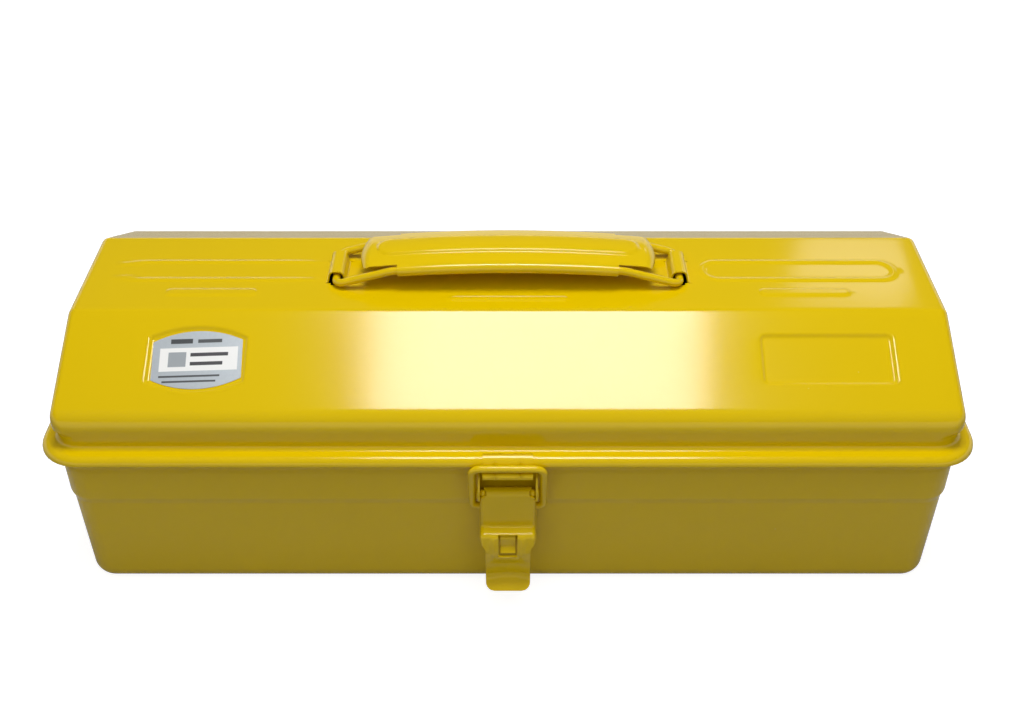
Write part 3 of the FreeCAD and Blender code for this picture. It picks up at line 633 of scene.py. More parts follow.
@dataclass
class CamberLid:
    """Lid: rim bead, two slanted faces, a flat top with ribs, two recesses and the handle's loops."""

    plan: Plan
    slant: Slant
    barrel: Barrel
    sheet: float = 0.6
    rim_z: float = 70.5
    join_z: float = 76.5
    blend_z: float = 78.5
    fold_z: float = 87.0
    fold_radius: float = 9.0
    crease_radius: float = 4.0
    skirt: float = 10.4
    skirt_bend: float = 1.9
    bead_outer: float = 17.0
    bead_radius: float = 3.2
    end_bend: float = 6.0
    end_edge: float = 3.4
    end_draft: float = 1.3
    panel_x: float = 122.5
    panel_half: tuple[float, float] = (25.25, 10.17)
    recess: float = 1.0
    rib_height: float = 0.5
    loop_x: float = 68.5
    loop_half: float = 7.75
    loop_crest: float = 114.1
    slit: float = 0.25
    slot_half: tuple[float, float] = (2.4, 9.4)
    slant_range: tuple[float, float] = (-60.0, -30.0)
    recess_ease: tuple[float, float] = (-1.0, 0.8)
    panel_corner: float = 2.2
    label_margin: float = 1.0
    rib_ease: tuple[float, float] = (-0.75, 0.3)
    rib_x: float = 117.5
    ring_y: float = 1.2
    ring_box: Corner = (40.0, 7.75, 7.7)
    ring_half: float = 1.2
    low_y: float = -14.5
    low_box: Corner = (18.0, 2.5, 2.45)
    middle_y: float = -19.0
    middle_box: Corner = (23.5, 1.5, 1.45)
    low_row: float = 77.5
    slope_spans: tuple[Span, ...] = (
        (32.0, 38.4, 0.45),
        (38.4, 52.0, 2.3),
        (52.0, 58.6, 0.45),
        (58.6, 62.5, 2.0),
    )
    top_spans: tuple[Span, ...] = ((-21.6, 10.4, 0.75), (-24.5, -21.6, 1.4), (10.4, 24.5, 2.4))
    rib_spans: tuple[Span, ...] = (
        (77.0, 86.0, 0.8),
        (149.0, 158.2, 0.8),
        (99.0, 102.5, 0.6),
        (132.5, 136.0, 0.6),
        (21.4, 24.4, 0.5),
    )
    recess_spans: tuple[Span, ...] = (
        (96.2, 99.4, 0.4),
        (145.6, 148.8, 0.4),
        (-138.6, -135.8, 0.4),
        (-102.0, -99.2, 0.4),
        (-135.8, -102.0, 1.4),
    )
    coarse_span: Span = (-161.0, 161.0, 7.0)

    def relief(self, x: Array, y: Array) -> Array:
        """Height pressed out of the plain surface.

        Args:
            x: places along the lid.
            y: places across the lid.

        Returns:
            Heights along the surface's normal, negative for a recess.
        """
        v = self.slant.down(y)
        panel = box_distance(x - self.panel_x, v, *self.panel_half, self.panel_corner)
        label = self.barrel.distance(x - self.barrel.x, v, self.label_margin)
        on_slant = (y < self.slant_range[1]) & (y > self.slant_range[0])
        height = -self.recess * (1 - ease(panel, *self.recess_ease))
        height -= self.recess * (1 - ease(label, *self.recess_ease))
        beside = np.abs(x) - self.rib_x
        ring = box_distance(beside, y - self.ring_y, *self.ring_box)
        ring = np.abs(ring + self.ring_half) - self.ring_half
        low = box_distance(beside, y - self.low_y, *self.low_box)
        middle = box_distance(x, y - self.middle_y, *self.middle_box)
        rib = np.minimum(np.minimum(ring, low), middle)
        return np.where(on_slant, height, self.rib_height * (1 - ease(rib, *self.rib_ease)))

    def cross_lines(self) -> list[float]:
        """Places across the lid where the grid has a line."""
        cuts = mirrored([self.loop_half, self.loop_half + self.slit, self.slot_half[1]])
        return [*mirrored(lines(*self.slope_spans)), *lines(*self.top_spans, keep=cuts)]

    def long_lines(self) -> tuple[Array, Array]:
        """Places along the lid where the grid has a line.

        Returns:
            The places, and the height of the loop's outside there or 0.
        """
        section, _ = self.loop_line()
        loops = [side * self.loop_x + u for side in (-1, 1) for u in section[:, 0]]
        # A span that runs downward, as on the left side, gives only its two ends.
        ribs = [(side * a, side * b, step) for side in (-1, 1) for a, b, step in self.rib_spans]
        places = lines(*ribs, *self.recess_spans, self.coarse_span, keep=loops, gap=0.18)
        heights = np.zeros_like(places)
        for index, place in enumerate(places):
            offset = min((place - side * self.loop_x for side in (-1, 1)), key=abs)
            if abs(offset) <= section[-1, 0] + 1e-6:
                heights[index] = np.interp(offset, section[:, 0], section[:, 1]) - self.slant.top
        return places, heights

    def loop_line(self) -> Line:
        """Outside of a pressed loop, seen from its end."""
        base = self.slant.top - self.sheet / 2
        corners = [
            (-5.0, base, 0),
            (-3.7, base, 0.9),
            (-2.4, self.loop_crest, 2.1),
            (2.4, self.loop_crest, 2.1),
            (3.7, base, 0.9),
            (5.0, base, 0),
        ]
        points, normals = bent_line(corners, arc_step=12)
        outside = points + normals * self.sheet / 2
        return with_marks((outside, normals), mirrored([self.slot_half[0]]))

    def profile(self) -> Line:
        """The lid's outside seen from its end, from the front skirt over to the rear."""
        depth = self.plan.y + self.skirt
        crease = self.slant.crease_y
        line = bent_line(
            [
                (-depth, self.join_z, 0),
                (-depth, self.fold_z, self.fold_radius),
                (-crease, self.slant.top, self.crease_radius),
                (crease, self.slant.top, self.crease_radius),
                (depth, self.fold_z, self.fold_radius),
                (depth, self.join_z, 0),
            ],
            arc_step=6,
        )
        rising = lines((self.blend_z, self.fold_z - 5.5, 0.6), keep=(self.low_row,))
        return with_marks(with_marks(line, rising, axis=1), self.cross_lines())

    def end_radius(self, points: Array) -> Array:
        """Radius of the lid's end edge beside each point of the profile."""
        start, end = self.fold_z - 5.44, self.fold_z + 2.5
        over = self.end_bend + (self.end_edge - self.end_bend) * ease(points[:, 1], start, end)
        return self.skirt + (over - self.skirt) * ease(points[:, 1], self.blend_z, start + 0.3)

    def build(self, finish: Finish) -> None:
        """Add the lid to the scene."""
        skin = Skin()
        points, normals = self.profile()
        radius = self.end_radius(points)
        share = np.clip((points[:, 1] - 80.0) / (self.slant.top - 80.0), 0, 1)
        length = self.plan.x + self.skirt - self.end_draft * share
        places, heights = self.long_lines()
        rows = self.spans(points, normals, radius, length, places, heights)
        skin.grid(rows, self.kept(points, places, rows.shape[1]))
        self.ends(skin, rows, points)
        self.rim(skin, rows, points)
        skin.piece("lid_cover", Body.LID, finish, ["lid_shell"], self.sheet, -1.0, 0.15)

    def spans(
        self, points: Array, normals: Array, radius: Array, length: Array, places: Array, heights: Array
    ) -> Array:
        """The grid over the lid from end to end, with rounded end edges.

        Args:
            points: profile.
            normals: its normals.
            radius: end edge radius beside each profile point.
            length: half length of the lid at each profile point.
            places: grid lines between the end edges.
            heights: rise of the loops at those lines.

        Returns:
            Rows of points, one row for each profile point.
        """
        turns = np.linspace(0, math.pi / 2, 11)
        rows = []
        for (y, z), (ny, nz), bend, end in zip(points, normals, radius, length):
            rise = self.relief(places, np.full_like(places, y))
            inner = np.stack([places, y + ny * rise, z + nz * rise], axis=1)
            if abs(y) <= self.loop_half + 0.01:
                inner[:, 2] = np.where(heights != 0, self.slant.top + heights, inner[:, 2])
            x = end - bend * (1 - np.sin(turns))
            inset = bend * (1 - np.cos(turns))
            right = np.stack([x, y - ny * inset, z - nz * inset], axis=1)
            left = right[::-1] * (-1, 1, 1)
            rows.append(np.concatenate([left, inner, right]))
        return np.array(rows)

    def kept(self, points: Array, places: Array, columns: int) -> Array:
        """Which cells of the grid are sheet: not the slots and slits round the loops."""
        edge = (columns - len(places)) // 2
        middle_y = np.abs(points[1:, 0] + points[:-1, 0]) / 2
        middle_x = np.abs(np.abs(places[1:] + places[:-1]) / 2 - self.loop_x)
        slit = (middle_y > self.loop_half) & (middle_y < self.loop_half + self.slit)
        slot = (middle_y > self.loop_half) & (middle_y < self.slot_half[1])
        keep = np.ones((len(points) - 1, columns - 1), bool)
        inside = keep[:, edge : edge + len(places) - 1]
        inside &= ~(slit[:, None] & (middle_x < 5.0)[None])
        inside &= ~(slot[:, None] & (middle_x < self.slot_half[0])[None])
        return keep

    def crown_rows(self, points: Array) -> tuple[int, int]:
        """First and last row of the profile on the flat top."""
        flat = np.flatnonzero(points[:, 1] > self.slant.top - 1e-4)
        return flat[0], flat[-1]

    def ends(self, skin: Skin, rows: Array, points: Array) -> None:
        """Close both ends with faces that meet the end edges point for point.

        Args:
            skin: takes the faces.
            rows: the lid's grid.
            points: its profile.
        """
        first, last = self.crown_rows(points)
        for side, column in ((1, -1), (-1, 0)):
            edge = rows[:, column]
            crown = edge[first : last + 1]
            share = (crown[:, 1] - crown[0, 1]) / (crown[-1, 1] - crown[0, 1])
            face = []
            for index in range(first + 1):
                front, rear = edge[index], edge[len(edge) - 1 - index]
                face.append(front + (rear - front) * share[:, None])
            skin.grid(np.array(face), flip=side < 0)

    def rim(self, skin: Skin, rows: Array, points: Array) -> None:
        """Bead round the lid's lower edge, below the end of the grid.

        Args:
            skin: takes the faces.
            rows: the lid's grid.
            points: its profile.
        """
        first, last = self.crown_rows(points)
        crown = rows[first : last + 1, -1, 1]
        share = (crown - crown[0]) / (crown[-1] - crown[0])
        right = rows[0, -1] + (rows[-1, -1] - rows[0, -1]) * share[:, None]
        left = rows[-1, 0] + (rows[0, 0] - rows[-1, 0]) * (1 - share[::-1, None])
        loop = np.concatenate([rows[0], right[1:-1], rows[-1][::-1], left[1:-1]])[:, :2]
        bases = np.clip(loop, (-self.plan.x, -self.plan.y), (self.plan.x, self.plan.y))
        outward = loop - bases
        outward /= np.linalg.norm(outward, axis=1)[:, None]
        shoulder = self.rim_z + self.bead_radius
        section, _ = bent_line(
            [
                (self.skirt, self.join_z, 0),
                (self.skirt, shoulder, self.skirt_bend),
                (self.bead_outer, shoulder, self.bead_radius),
                (self.bead_outer, self.rim_z, 0),
            ],
            arc_step=9,
        )
        skin.grid(self.plan.rings(bases, outward, section), closed=True, flip=True)


@dataclass
class StuckLabel:
    """Thin printed label on the floor of its recess, set very slightly crooked."""

    slant: Slant
    barrel: Barrel
    depth: float = 1.0
    thick: float = 0.2
    tilt: float = 0.035
    inset: float = 0.35

    def build(self, finish: Finish) -> None:
        """Add the label to the scene, with its flat map in millimetres from its middle."""
        half = self.barrel.length / 2 - self.inset
        across = lines((-half, half, 1.2))
        reach = self.barrel.half_height(across) - self.inset
        share = lines((-1.0, 1.0, 0.1), gap=0.01)
        u = np.broadcast_to(across[None], (len(share), len(across)))
        v = share[:, None] * reach[None]
        cos, sin = math.cos(self.tilt), math.sin(self.tilt)
        place_u = self.barrel.x + u * cos + v * sin
        place_v = v * cos - u * sin
        points = self.slant.place(place_u, place_v, self.thick - self.depth)
        skin = Skin()
        skin.grid(points, flip=True)
        piece = skin.piece("label", Body.LID, finish, ["label_plate"], self.thick * 0.9, -1.0, 0.04)
        chart = piece.data.uv_layers.new(name="flat")
        middle = Vector(self.slant.place(self.barrel.x, 0.0, self.thick - self.depth)) * MM
        along = Vector((cos, *(np.array(self.downhill()) * -sin)))
        down = Vector((sin, *(np.array(self.downhill()) * cos)))
        for loop in piece.data.loops:
            offset = piece.data.vertices[loop.vertex_index].co - middle
            chart.data[loop.index].uv = (offset.dot(along) / MM, -offset.dot(down) / MM)

    def downhill(self) -> tuple[float, float]:
        """The y and z of one step down the slope."""
        return -math.cos(self.slant.angle), -math.sin(self.slant.angle)


# ---- handle -------------------------------------------------------------------------
@dataclass
class Handle:
    """Wire handle with a folded sheet grip."""

    axis_z: float = 119.0
    rest_z: float = 110.9
    wire: float = 1.6
    leg_y: float = 11.7
    end_x: float = 68.5
    corner: float = 3.6
    lead: float = 2.5
    leg_bend: float = 15.0
    arch: float = 590.0
    grip_half: float = 43.5
    web_half: float = 53.8
    web_y: float = 11.2
    end_bend: float = 4.0
    end_angle: float = 60.0
    end_corner: float = 2.6
    tube: float = 2.35
    crown: float = 1.85
    sheet: float = 0.6
    panel_rise: float = 0.8
    panel_half: tuple[float, float] = (52.0, 6.0)

    def drop(self, x: float) -> float:
        """Fall of the arch at distance x from the middle."""
        return self.arch - math.sqrt(self.arch**2 - x * x)

    def build(self, finish: Finish) -> None:
        """Add the wire and the grip to the scene."""
        self.build_wire(finish)
        self.build_grip(finish)

    def build_wire(self, finish: Finish) -> None:
        """Closed wire loop: two arched legs and two end bars."""
        steps = np.linspace(0, self.grip_half, 16)[:-1]
        arched = [Vector((x, self.leg_y, self.axis_z - self.drop(x))) for x in steps]
        mouth = Vector((self.grip_half, self.leg_y, self.axis_z - self.drop(self.grip_half)))
        slope = self.grip_half / math.sqrt(self.arch**2 - self.grip_half**2)
        bend = mouth + Vector((self.lead, 0, -self.lead * slope))
        corner = Vector((self.end_x, self.leg_y, self.rest_z))
        middle = Vector((self.end_x, 0, self.rest_z))
        leg = along_run([(mouth, 0), (bend, self.leg_bend), (corner, self.corner), (middle, 0)], 5)
        quarter = arched + leg
        loop = quarter[:-1] + flipped(quarter, 1, -1)[:0:-1]
        loop += flipped(quarter, -1, -1)[:-1] + flipped(quarter, -1, 1)[:0:-1]
        skin = Skin()
        skin.tube(loop, self.wire, Vector((0, 0, 1)), closed=True)
        skin.piece("handle_loop", Body.HANDLE, finish, ["handle_wire"])

    def web_height(self, y: Array) -> Array:
        """Height of the crowned web over the wires' middle line."""
        return self.tube + self.crown * (1 - (y / self.leg_y) ** 2)

    def section(self) -> tuple[Array, Array]:
        """Outside of the grip seen from its end, from the front fold over to the rear one.

        Returns:
            (y, height over the wire) rows, and whether each belongs to the web.
        """
        web = lines((-self.web_y, self.web_y, 0.9), (5.0, 7.2, 0.35), (-7.2, -5.0, 0.35), gap=0.12)
        web_rows = np.stack([web, self.web_height(web)], axis=1)
        turns = np.radians(np.linspace(22, 318, 34))
        y = self.leg_y + self.tube * np.sin(turns)
        height = self.tube * np.cos(turns)
        fold = np.stack([y, height], axis=1)
        front = fold[::-1] * (-1, 1)
        rows = np.concatenate([front, web_rows, fold])
        is_web = np.zeros(len(rows), bool)
        is_web[len(front) : len(front) + len(web)] = True
        return rows, is_web

    def build_grip(self, finish: Finish) -> None:
        """Sheet grip with its raised racetrack and down-curved ends."""
        rows, is_web = self.section()
        straight = lines(
            (-self.web_half, self.web_half, 2.4),
            (45.5, 52.8, 0.5),
            (-52.8, -45.5, 0.5),
            keep=mirrored([self.grip_half, self.web_half]),
        )
        bends = [self.end_angle * step / 8 for step in range(1, 9)]
        stations = [(-self.web_half, bend) for bend in bends[::-1]]
        stations += [(x, 0.0) for x in straight]
        stations += [(self.web_half, bend) for bend in bends]
        grid = np.array([self.station(x, bend, rows, is_web) for x, bend in stations])
        keep = np.ones((len(stations) - 1, len(rows) - 1), bool)
        inner = [abs(a[0] + b[0]) / 2 < self.grip_half for a, b in zip(stations, stations[1:])]
        keep[~np.array(inner)] = (is_web[1:] & is_web[:-1])[None]
        skin = Skin()
        skin.grid(grid, keep, flip=True)
        skin.piece("handle_grip_cover", Body.HANDLE, finish, ["handle_grip"], self.sheet, -1.0, 0.16)

    def station(self, x: float, bend: float, rows: Array, is_web: Array) -> Array:
        """One cross-section of the grip.

        Args:
            x: place along the straightened grip, from its middle.
            bend: degrees round the end's down-curve.
            rows: the section.
            is_web: which of its points belong to the web.

        Returns:
            Points of the section in place.
        """
        y, height = rows[:, 0].copy(), rows[:, 1].copy()
        half_length, half_width = self.panel_half
        if bend == 0:
            edge = box_distance(np.full_like(y, x), y, half_length, half_width, half_width - 0.05)
            height += np.where(is_web, self.panel_rise * (1 - ease(edge, -0.95, 0.25)), 0)
        length = self.end_bend * math.radians(self.end_angle - bend)
        if bend > 0 and length < self.end_corner:
            reach = self.end_corner - length
            narrow = self.end_corner - math.sqrt(max(self.end_corner**2 - reach * reach, 0.0))
            y *= (self.web_y - narrow) / self.web_y
        side = math.copysign(1.0, x)
        angle = math.asin(abs(x) / self.arch)
        radial = np.array((side * math.sin(angle), math.cos(angle)))
        centre = np.array((0.0, self.axis_z - self.arch))
        if bend == 0:
            place = centre + radial * (self.arch + height[:, None])
        else:
            pivot = centre + radial * (self.arch + self.tube - self.end_bend)
            swing = angle + math.radians(bend)
            direction = np.array((side * math.sin(swing), math.cos(swing)))
            place = pivot + direction * (height[:, None] - self.tube + self.end_bend)
        return np.stack([place[:, 0], y, place[:, 1]], axis=1)


# ---- latch --------------------------------------------------------------------------
def strip_grid(
    line: Array, across: Array, normals: Array | None = None, rise: Array | None = None
) -> Array:
    """A sheet strip along X.

    Args:
        line: (y, z) rows of its side view.
        across: x places.
        normals: the line's normals, needed with rise.
        rise: heights along the normals, one row for each point of the line.

    Returns:
        Rows of points, one row for each point of the line.
    """
    shape = (len(line), len(across))
    grid = np.zeros((*shape, 3))
    grid[:, :, 0] = across
    grid[:, :, 1:] = line[:, None]
    if normals is not None and rise is not None:
        grid[:, :, 1:] += normals[:, None] * rise[:, :, None]
    return grid


@dataclass
class Catch:
    """Plate over the lid's bead with two pressed grooves and a shelf that ends in a short lip."""

    sheet: float = 0.9
    half_width: float = 9.5
    over_z: float = 74.15
    back_y: float = -71.9
    face_y: float = -75.45
    face_bend: float = 3.65
    shelf_z: float = 69.5
    lip_y: float = -78.85
    lip_low: float = 67.9
    lip_bend: float = 0.8
    groove_x: float = 4.85
    groove_depth: float = 0.55
    groove_half: float = 1.5

    def build(self, finish: Finish) -> None:
        """Add the catch to the scene."""
        line = bent_line(
            [
                (self.back_y, self.over_z, 0),
                (self.face_y, self.over_z, self.face_bend),
                (self.face_y, self.shelf_z, 0.7),
                (self.lip_y, self.shelf_z, self.lip_bend),
                (self.lip_y, self.lip_low, 0),
            ]
        )
        points, normals = with_marks(line, np.arange(-78.0, -76.2, 0.5))
        across = lines((-self.half_width, self.half_width, 0.6))
        groove = self.groove_depth * (1 - ease(np.abs(np.abs(across) - self.groove_x), 0, self.groove_half))
        run = np.concatenate([[0], np.cumsum(np.linalg.norm(np.diff(points, axis=0), axis=1))])
        deep = ease(run, 2.0, 5.0)[:, None] * groove[None]
        grid = strip_grid(points, across, normals, deep)
        low = np.isclose(points[:, 1], self.lip_low)
        grid[low, :, 2] -= 0.5 * groove / self.groove_depth
        skin = Skin()
        skin.grid(grid)
        skin.piece("catch", Body.LID, finish, ["latch_catch"], self.sheet, 0.0, 0.22, even=False)


@dataclass
class Bracket:
    """Bracket on the body's front: plate, ears, weld feet and the stop tongue."""

    sheet: float = 0.9
    plate_y: float = -69.45
    plate_half: float = 11.5
    plate_low: float = 27.0
    plate_top: float = 65.5
    foot_x: float = 13.7
    foot_low: float = 47.0
    foot_top: float = 52.0
    ear_x: float = 11.05
    tongue_half: float = 3.0

    def build(self, finish: Finish) -> None:
        """Add the bracket to the scene."""
        skin = Skin()
        right = [
            (self.plate_half, self.plate_low),
            (self.plate_half, self.foot_low),
            (self.foot_x, self.foot_low),
            (self.foot_x, self.foot_top),
            (self.plate_half, self.foot_top),
            (self.plate_half, self.plate_top),
        ]
        left = [(-x, z) for x, z in right[::-1]]
        outline = [left[-1], *right, *left[:-1]]
        skin.polygon(np.array([(x, self.plate_y, z) for x, z in outline]))
        skin.piece("bracket_plate", Body.BOX, finish, ["latch_base"], self.sheet, 0.0, 0.2)
        self.build_ears(finish)
        self.build_tongue(finish)

    def build_ears(self, finish: Finish) -> None:
        """Two ears for the pin."""
        outline, _ = bent_line(
            [
                (self.plate_y, self.plate_top, 0),
                (-73.93, self.plate_top, 2.0),
                (-77.4, 59.6, 2.0),
                (-77.4, 54.4, 2.0),
                (self.plate_y, self.foot_top, 0),
            ]
        )
        for side, label in ((-1, "left"), (1, "right")):
            skin = Skin()
            ear = np.column_stack([np.full(len(outline), side * self.ear_x), outline])
            skin.polygon(ear[:: -side])
            skin.piece(f"bracket_ear_{label}", Body.BOX, finish, (), self.sheet, 0.0, 0.2)

    def build_tongue(self, finish: Finish) -> None:
        """Stop tongue that shows in the lever's slot."""
        line, _ = bent_line(
            [
                (self.plate_y, 44.0, 0),
                (self.plate_y - 1.2, 40.4, 2.0),
                (self.plate_y - 11.1, 38.8, 1.2),
                (self.plate_y - 10.2, 33.9, 1.2),
                (self.plate_y - 12.1, 31.4, 0),
            ]
        )
        across = lines((-self.tongue_half, self.tongue_half, 1.0))
        skin = Skin()
        skin.grid(strip_grid(line, across))
        skin.piece("bracket_tongue", Body.BOX, finish, (), self.sheet, 0.0, 0.25)


@dataclass
class PivotPin:
    """Riveted pin through the bracket's ears."""

    y: float = -74.8
    z: float = 57.0
    radius: float = 1.5
    neck: float = 1.1
    ball_x: float = 9.6
    ear_outer: float = 11.5
    head: float = 0.5
    head_radius: float = 2.2

    def build(self, finish: Finish) -> None:
        """Add the pin to the scene."""
        end = self.ear_outer + self.head
        half = [(0.0, self.neck), (self.ball_x - self.radius * 0.75, self.neck)]
        for step in range(-4, 5):
            angle = math.radians(step * 12)
            half.append((self.ball_x + self.radius * math.sin(angle), self.radius * math.cos(angle)))
        half += [(self.ear_outer, self.neck), (self.ear_outer, self.head_radius)]
        half += [(end - 0.3, self.head_radius - 0.05), (end - 0.06, self.head_radius - 0.5)]
        half += [(end, self.head_radius - 1.2), (end, 0.0)]
        outline = [(-x, radius) for x, radius in half[::-1]] + half[1:]
        skin = Skin()
        skin.lathe(outline, self.y, self.z)
        pin = skin.piece("pivot_pin", Body.BOX, finish, ["latch_pivot_pin"])
        pin.data.set_sharp_from_angle(angle=math.radians(50))


@dataclass
class Lever:
    """Over-centre lever: roll on the pin, flat face with cheeks, slotted bulge and flared lip."""

    sheet: float = 0.9
    pin_y: float = -74.8
    pin_z: float = 57.0
    roll: float = 2.0
    half_width: float = 10.3
    tail_half: float = 8.8
    roll_half: float = 9.1
    notch: float = 2.2
    notch_angle: float = 42.0
    cheek_top: float = 56.2
    taper: tuple[float, float] = (38.5, 33.0)
    slot_half: float = 3.8
    slot_z: tuple[float, float] = (29.8, 40.3)
    ridge_x: float = 5.4
    ridge_half: float = 1.5
    ridge_rise: float = 0.75
    edge_bend: float = 1.1
    lip_corner: float = 3.5
    scoop_dish: float = 0.9

    def line(self) -> Line:
        """Side view of the middle of the sheet, from behind the pin over and down to the lip."""
        turns = np.radians(np.linspace(-20, 180, 22))
        roll = np.stack([np.cos(turns), np.sin(turns)], axis=1)
        over = roll * self.roll + (self.pin_y, self.pin_z)
        face = self.pin_y - self.roll
        corners = [
            (face, self.pin_z, 0),
            (face, 41.4, 1.3),
            (-81.3, 40.4, 1.8),
            (-82.2, 32.5, 7.0),
            (-78.6, 15.5, 5.0),
            (-83.2, 11.8, 0),
        ]
        points, normals = bent_line(corners, arc_step=10)
        points = np.concatenate([over[:-1], points])
        normals = np.concatenate([roll[:-1], -normals])
        rows = [*np.arange(12.0, 14.4, 0.25), *np.arange(15.0, 38.0, 0.8)]
        rows += [*np.arange(42.0, 54.0, 1.5), *np.arange(54.2, 56.8, 0.3)]
        return with_marks((points, normals), [*rows, *self.slot_z], axis=1)

    def widths(self, points: Array, lengths: Array) -> Array:
        """Half width of the lever at each row of its side view.

        Args:
            points: side view.
            lengths: distance along it to the lip's end.

        Returns:
            Half widths.
        """
        z = points[:, 1]
        half = self.half_width + (self.tail_half - self.half_width) * ease(z, *self.taper)
        radius = self.roll + self.sheet / 2
        angle = np.arctan2(z - self.pin_z, self.pin_y - points[:, 0])
        away = radius * np.abs(angle - math.radians(self.notch_angle))
        away = np.where(z < self.pin_z, radius * math.radians(self.notch_angle) + self.pin_z - z, away)
        room = np.sqrt(np.maximum(self.notch**2 - away**2, 0))
        half = np.minimum(half, self.half_width - room)
        half = np.where(angle > math.radians(self.notch_angle), np.minimum(half, self.roll_half), half)
        rounding = np.maximum(self.lip_corner - lengths, 0)
        return half - self.lip_corner + np.sqrt(np.maximum(self.lip_corner**2 - rounding**2, 0))

    def cheeks(self, points: Array) -> Array:
        """How far the turned-back edge reaches at each row, 0 where there is none."""
        z = points[:, 1]
        reach = np.interp(
            z,
            [36.0, 40.4, 41.4, 44.6, 48.5, 51.8, 54.6, self.cheek_top, self.cheek_top + 0.1],
            [0.0, 1.0, 1.3, 4.7, 6.4, 5.8, 4.6, 2.6, 0.0],
        )
        return np.where(points[:, 0] > self.pin_y, 0.0, reach)

    def rise(self, across: Array, points: Array) -> Array:
        """Ridges beside the slot and a dished scoop, as heights over the plain sheet."""
        z = points[:, 1]
        forward = (points[:, 0] < -80.0) | (z < 41)
        tall = ease(z, 27.5, 32.0) * (1 - ease(z, 38.5, 40.6)) * forward
        ridge = 1 - ease(np.abs(np.abs(across) - self.ridge_x), 0, self.ridge_half)
        scoop = ease(z, 12.0, 17.0) * (1 - ease(z, 24.0, 29.0)) * forward
        dish = 1 - (across / self.tail_half) ** 2
        return tall[:, None] * ridge * self.ridge_rise - scoop[:, None] * dish * self.scoop_dish

    def build(self, finish: Finish) -> None:
        """Add the lever to the scene."""
        points, normals = self.line()
        steps = np.linalg.norm(np.diff(points, axis=0), axis=1)
        lengths = np.concatenate([np.cumsum(steps[::-1])[::-1], [0]])
        half = self.widths(points, lengths)
        depth = self.cheeks(points)
        plain = lines((-9.0, 9.0, 0.75), keep=mirrored([self.slot_half]))
        turns = np.radians(np.linspace(0, 90, 6))[1:]
        rows = []
        rises = self.rise(plain[None], points)
        for (y, z), (ny, nz), width, reach, rise in zip(points, normals, half, depth, rises):
            bend = min(self.edge_bend, reach * 0.8)
            scale = (width - bend) / plain[-1]
            slot = np.abs(plain) <= self.slot_half + 1e-6
            outer = self.slot_half + (np.abs(plain) - self.slot_half) * (
                (width - bend - self.slot_half) / (plain[-1] - self.slot_half)
            )
            x = np.where(slot, plain, np.sign(plain) * outer) if scale > 0.45 else plain * scale
            flat = np.stack([x, y + ny * rise, z + nz * rise], axis=1)
            edge_x = np.concatenate([width - bend + bend * np.sin(turns), np.full(5, width)])
            back = np.concatenate([bend * (1 - np.cos(turns)), np.linspace(bend, max(reach, bend), 6)[1:]])
            right = np.stack([edge_x, y - ny * back, z - nz * back], axis=1)
            left = right[::-1] * (-1, 1, 1)
            rows.append(np.concatenate([left, flat, right]))
        grid = np.array(rows)
        edge = (grid.shape[1] - len(plain)) // 2
        middle_x = np.abs(plain[1:] + plain[:-1]) / 2
        middle_z = (points[1:, 1] + points[:-1, 1]) / 2
        forward = (points[1:, 0] + points[:-1, 0]) / 2 < -78.0
        in_slot = (middle_z > self.slot_z[0]) & (middle_z < self.slot_z[1]) & forward
        keep = np.ones((len(points) - 1, grid.shape[1] - 1), bool)
        keep[:, edge : edge + len(plain) - 1] &= ~(in_slot[:, None] & (middle_x < self.slot_half)[None])
        bare = (depth[1:] <= 0.05) & (depth[:-1] <= 0.05)
        keep[bare, :edge] = False
        keep[bare, edge + len(plain) - 1 :] = False
        skin = Skin()
        skin.grid(grid, keep, flip=True)
        skin.piece("lever", Body.LEVER, finish, ["latch_lever"], self.sheet, 0.0, 0.25)


@dataclass
class Bail:
    """Wire bail: a bar over the catch and two arms that turn in to the lever."""

    wire: float = 1.4
    inner: float = 8.8
    half_width: float = 13.75
    foot: tuple[float, float] = (-72.6, 48.5)
    bar: tuple[float, float] = (-77.6, 71.9)
    foot_bend: float = 2.6
    top_bend: float = 3.6

    def build(self, finish: Finish) -> None:
        """Add the bail to the scene."""
        foot_y, foot_z = self.foot
        bar_y, bar_z = self.bar
        half = along_run(
            [
                (Vector((self.inner, foot_y, foot_z)), 0),
                (Vector((self.half_width, foot_y, foot_z)), self.foot_bend),
                (Vector((self.half_width, bar_y, bar_z)), self.top_bend),
                (Vector((0, bar_y, bar_z)), 0),
            ],
            arc_step=7,
        )
        other = flipped(half[:-1], -1, 1)[::-1]
        plane = Vector((1, 0, 0)).cross(Vector((0, bar_y - foot_y, bar_z - foot_z)))
        skin = Skin()
        skin.tube(half + other, self.wire, plane.normalized())
        piece = skin.piece("bail", Body.BAIL, finish, ["latch_bail"])
        piece.data.set_sharp_from_angle(angle=math.radians(60))


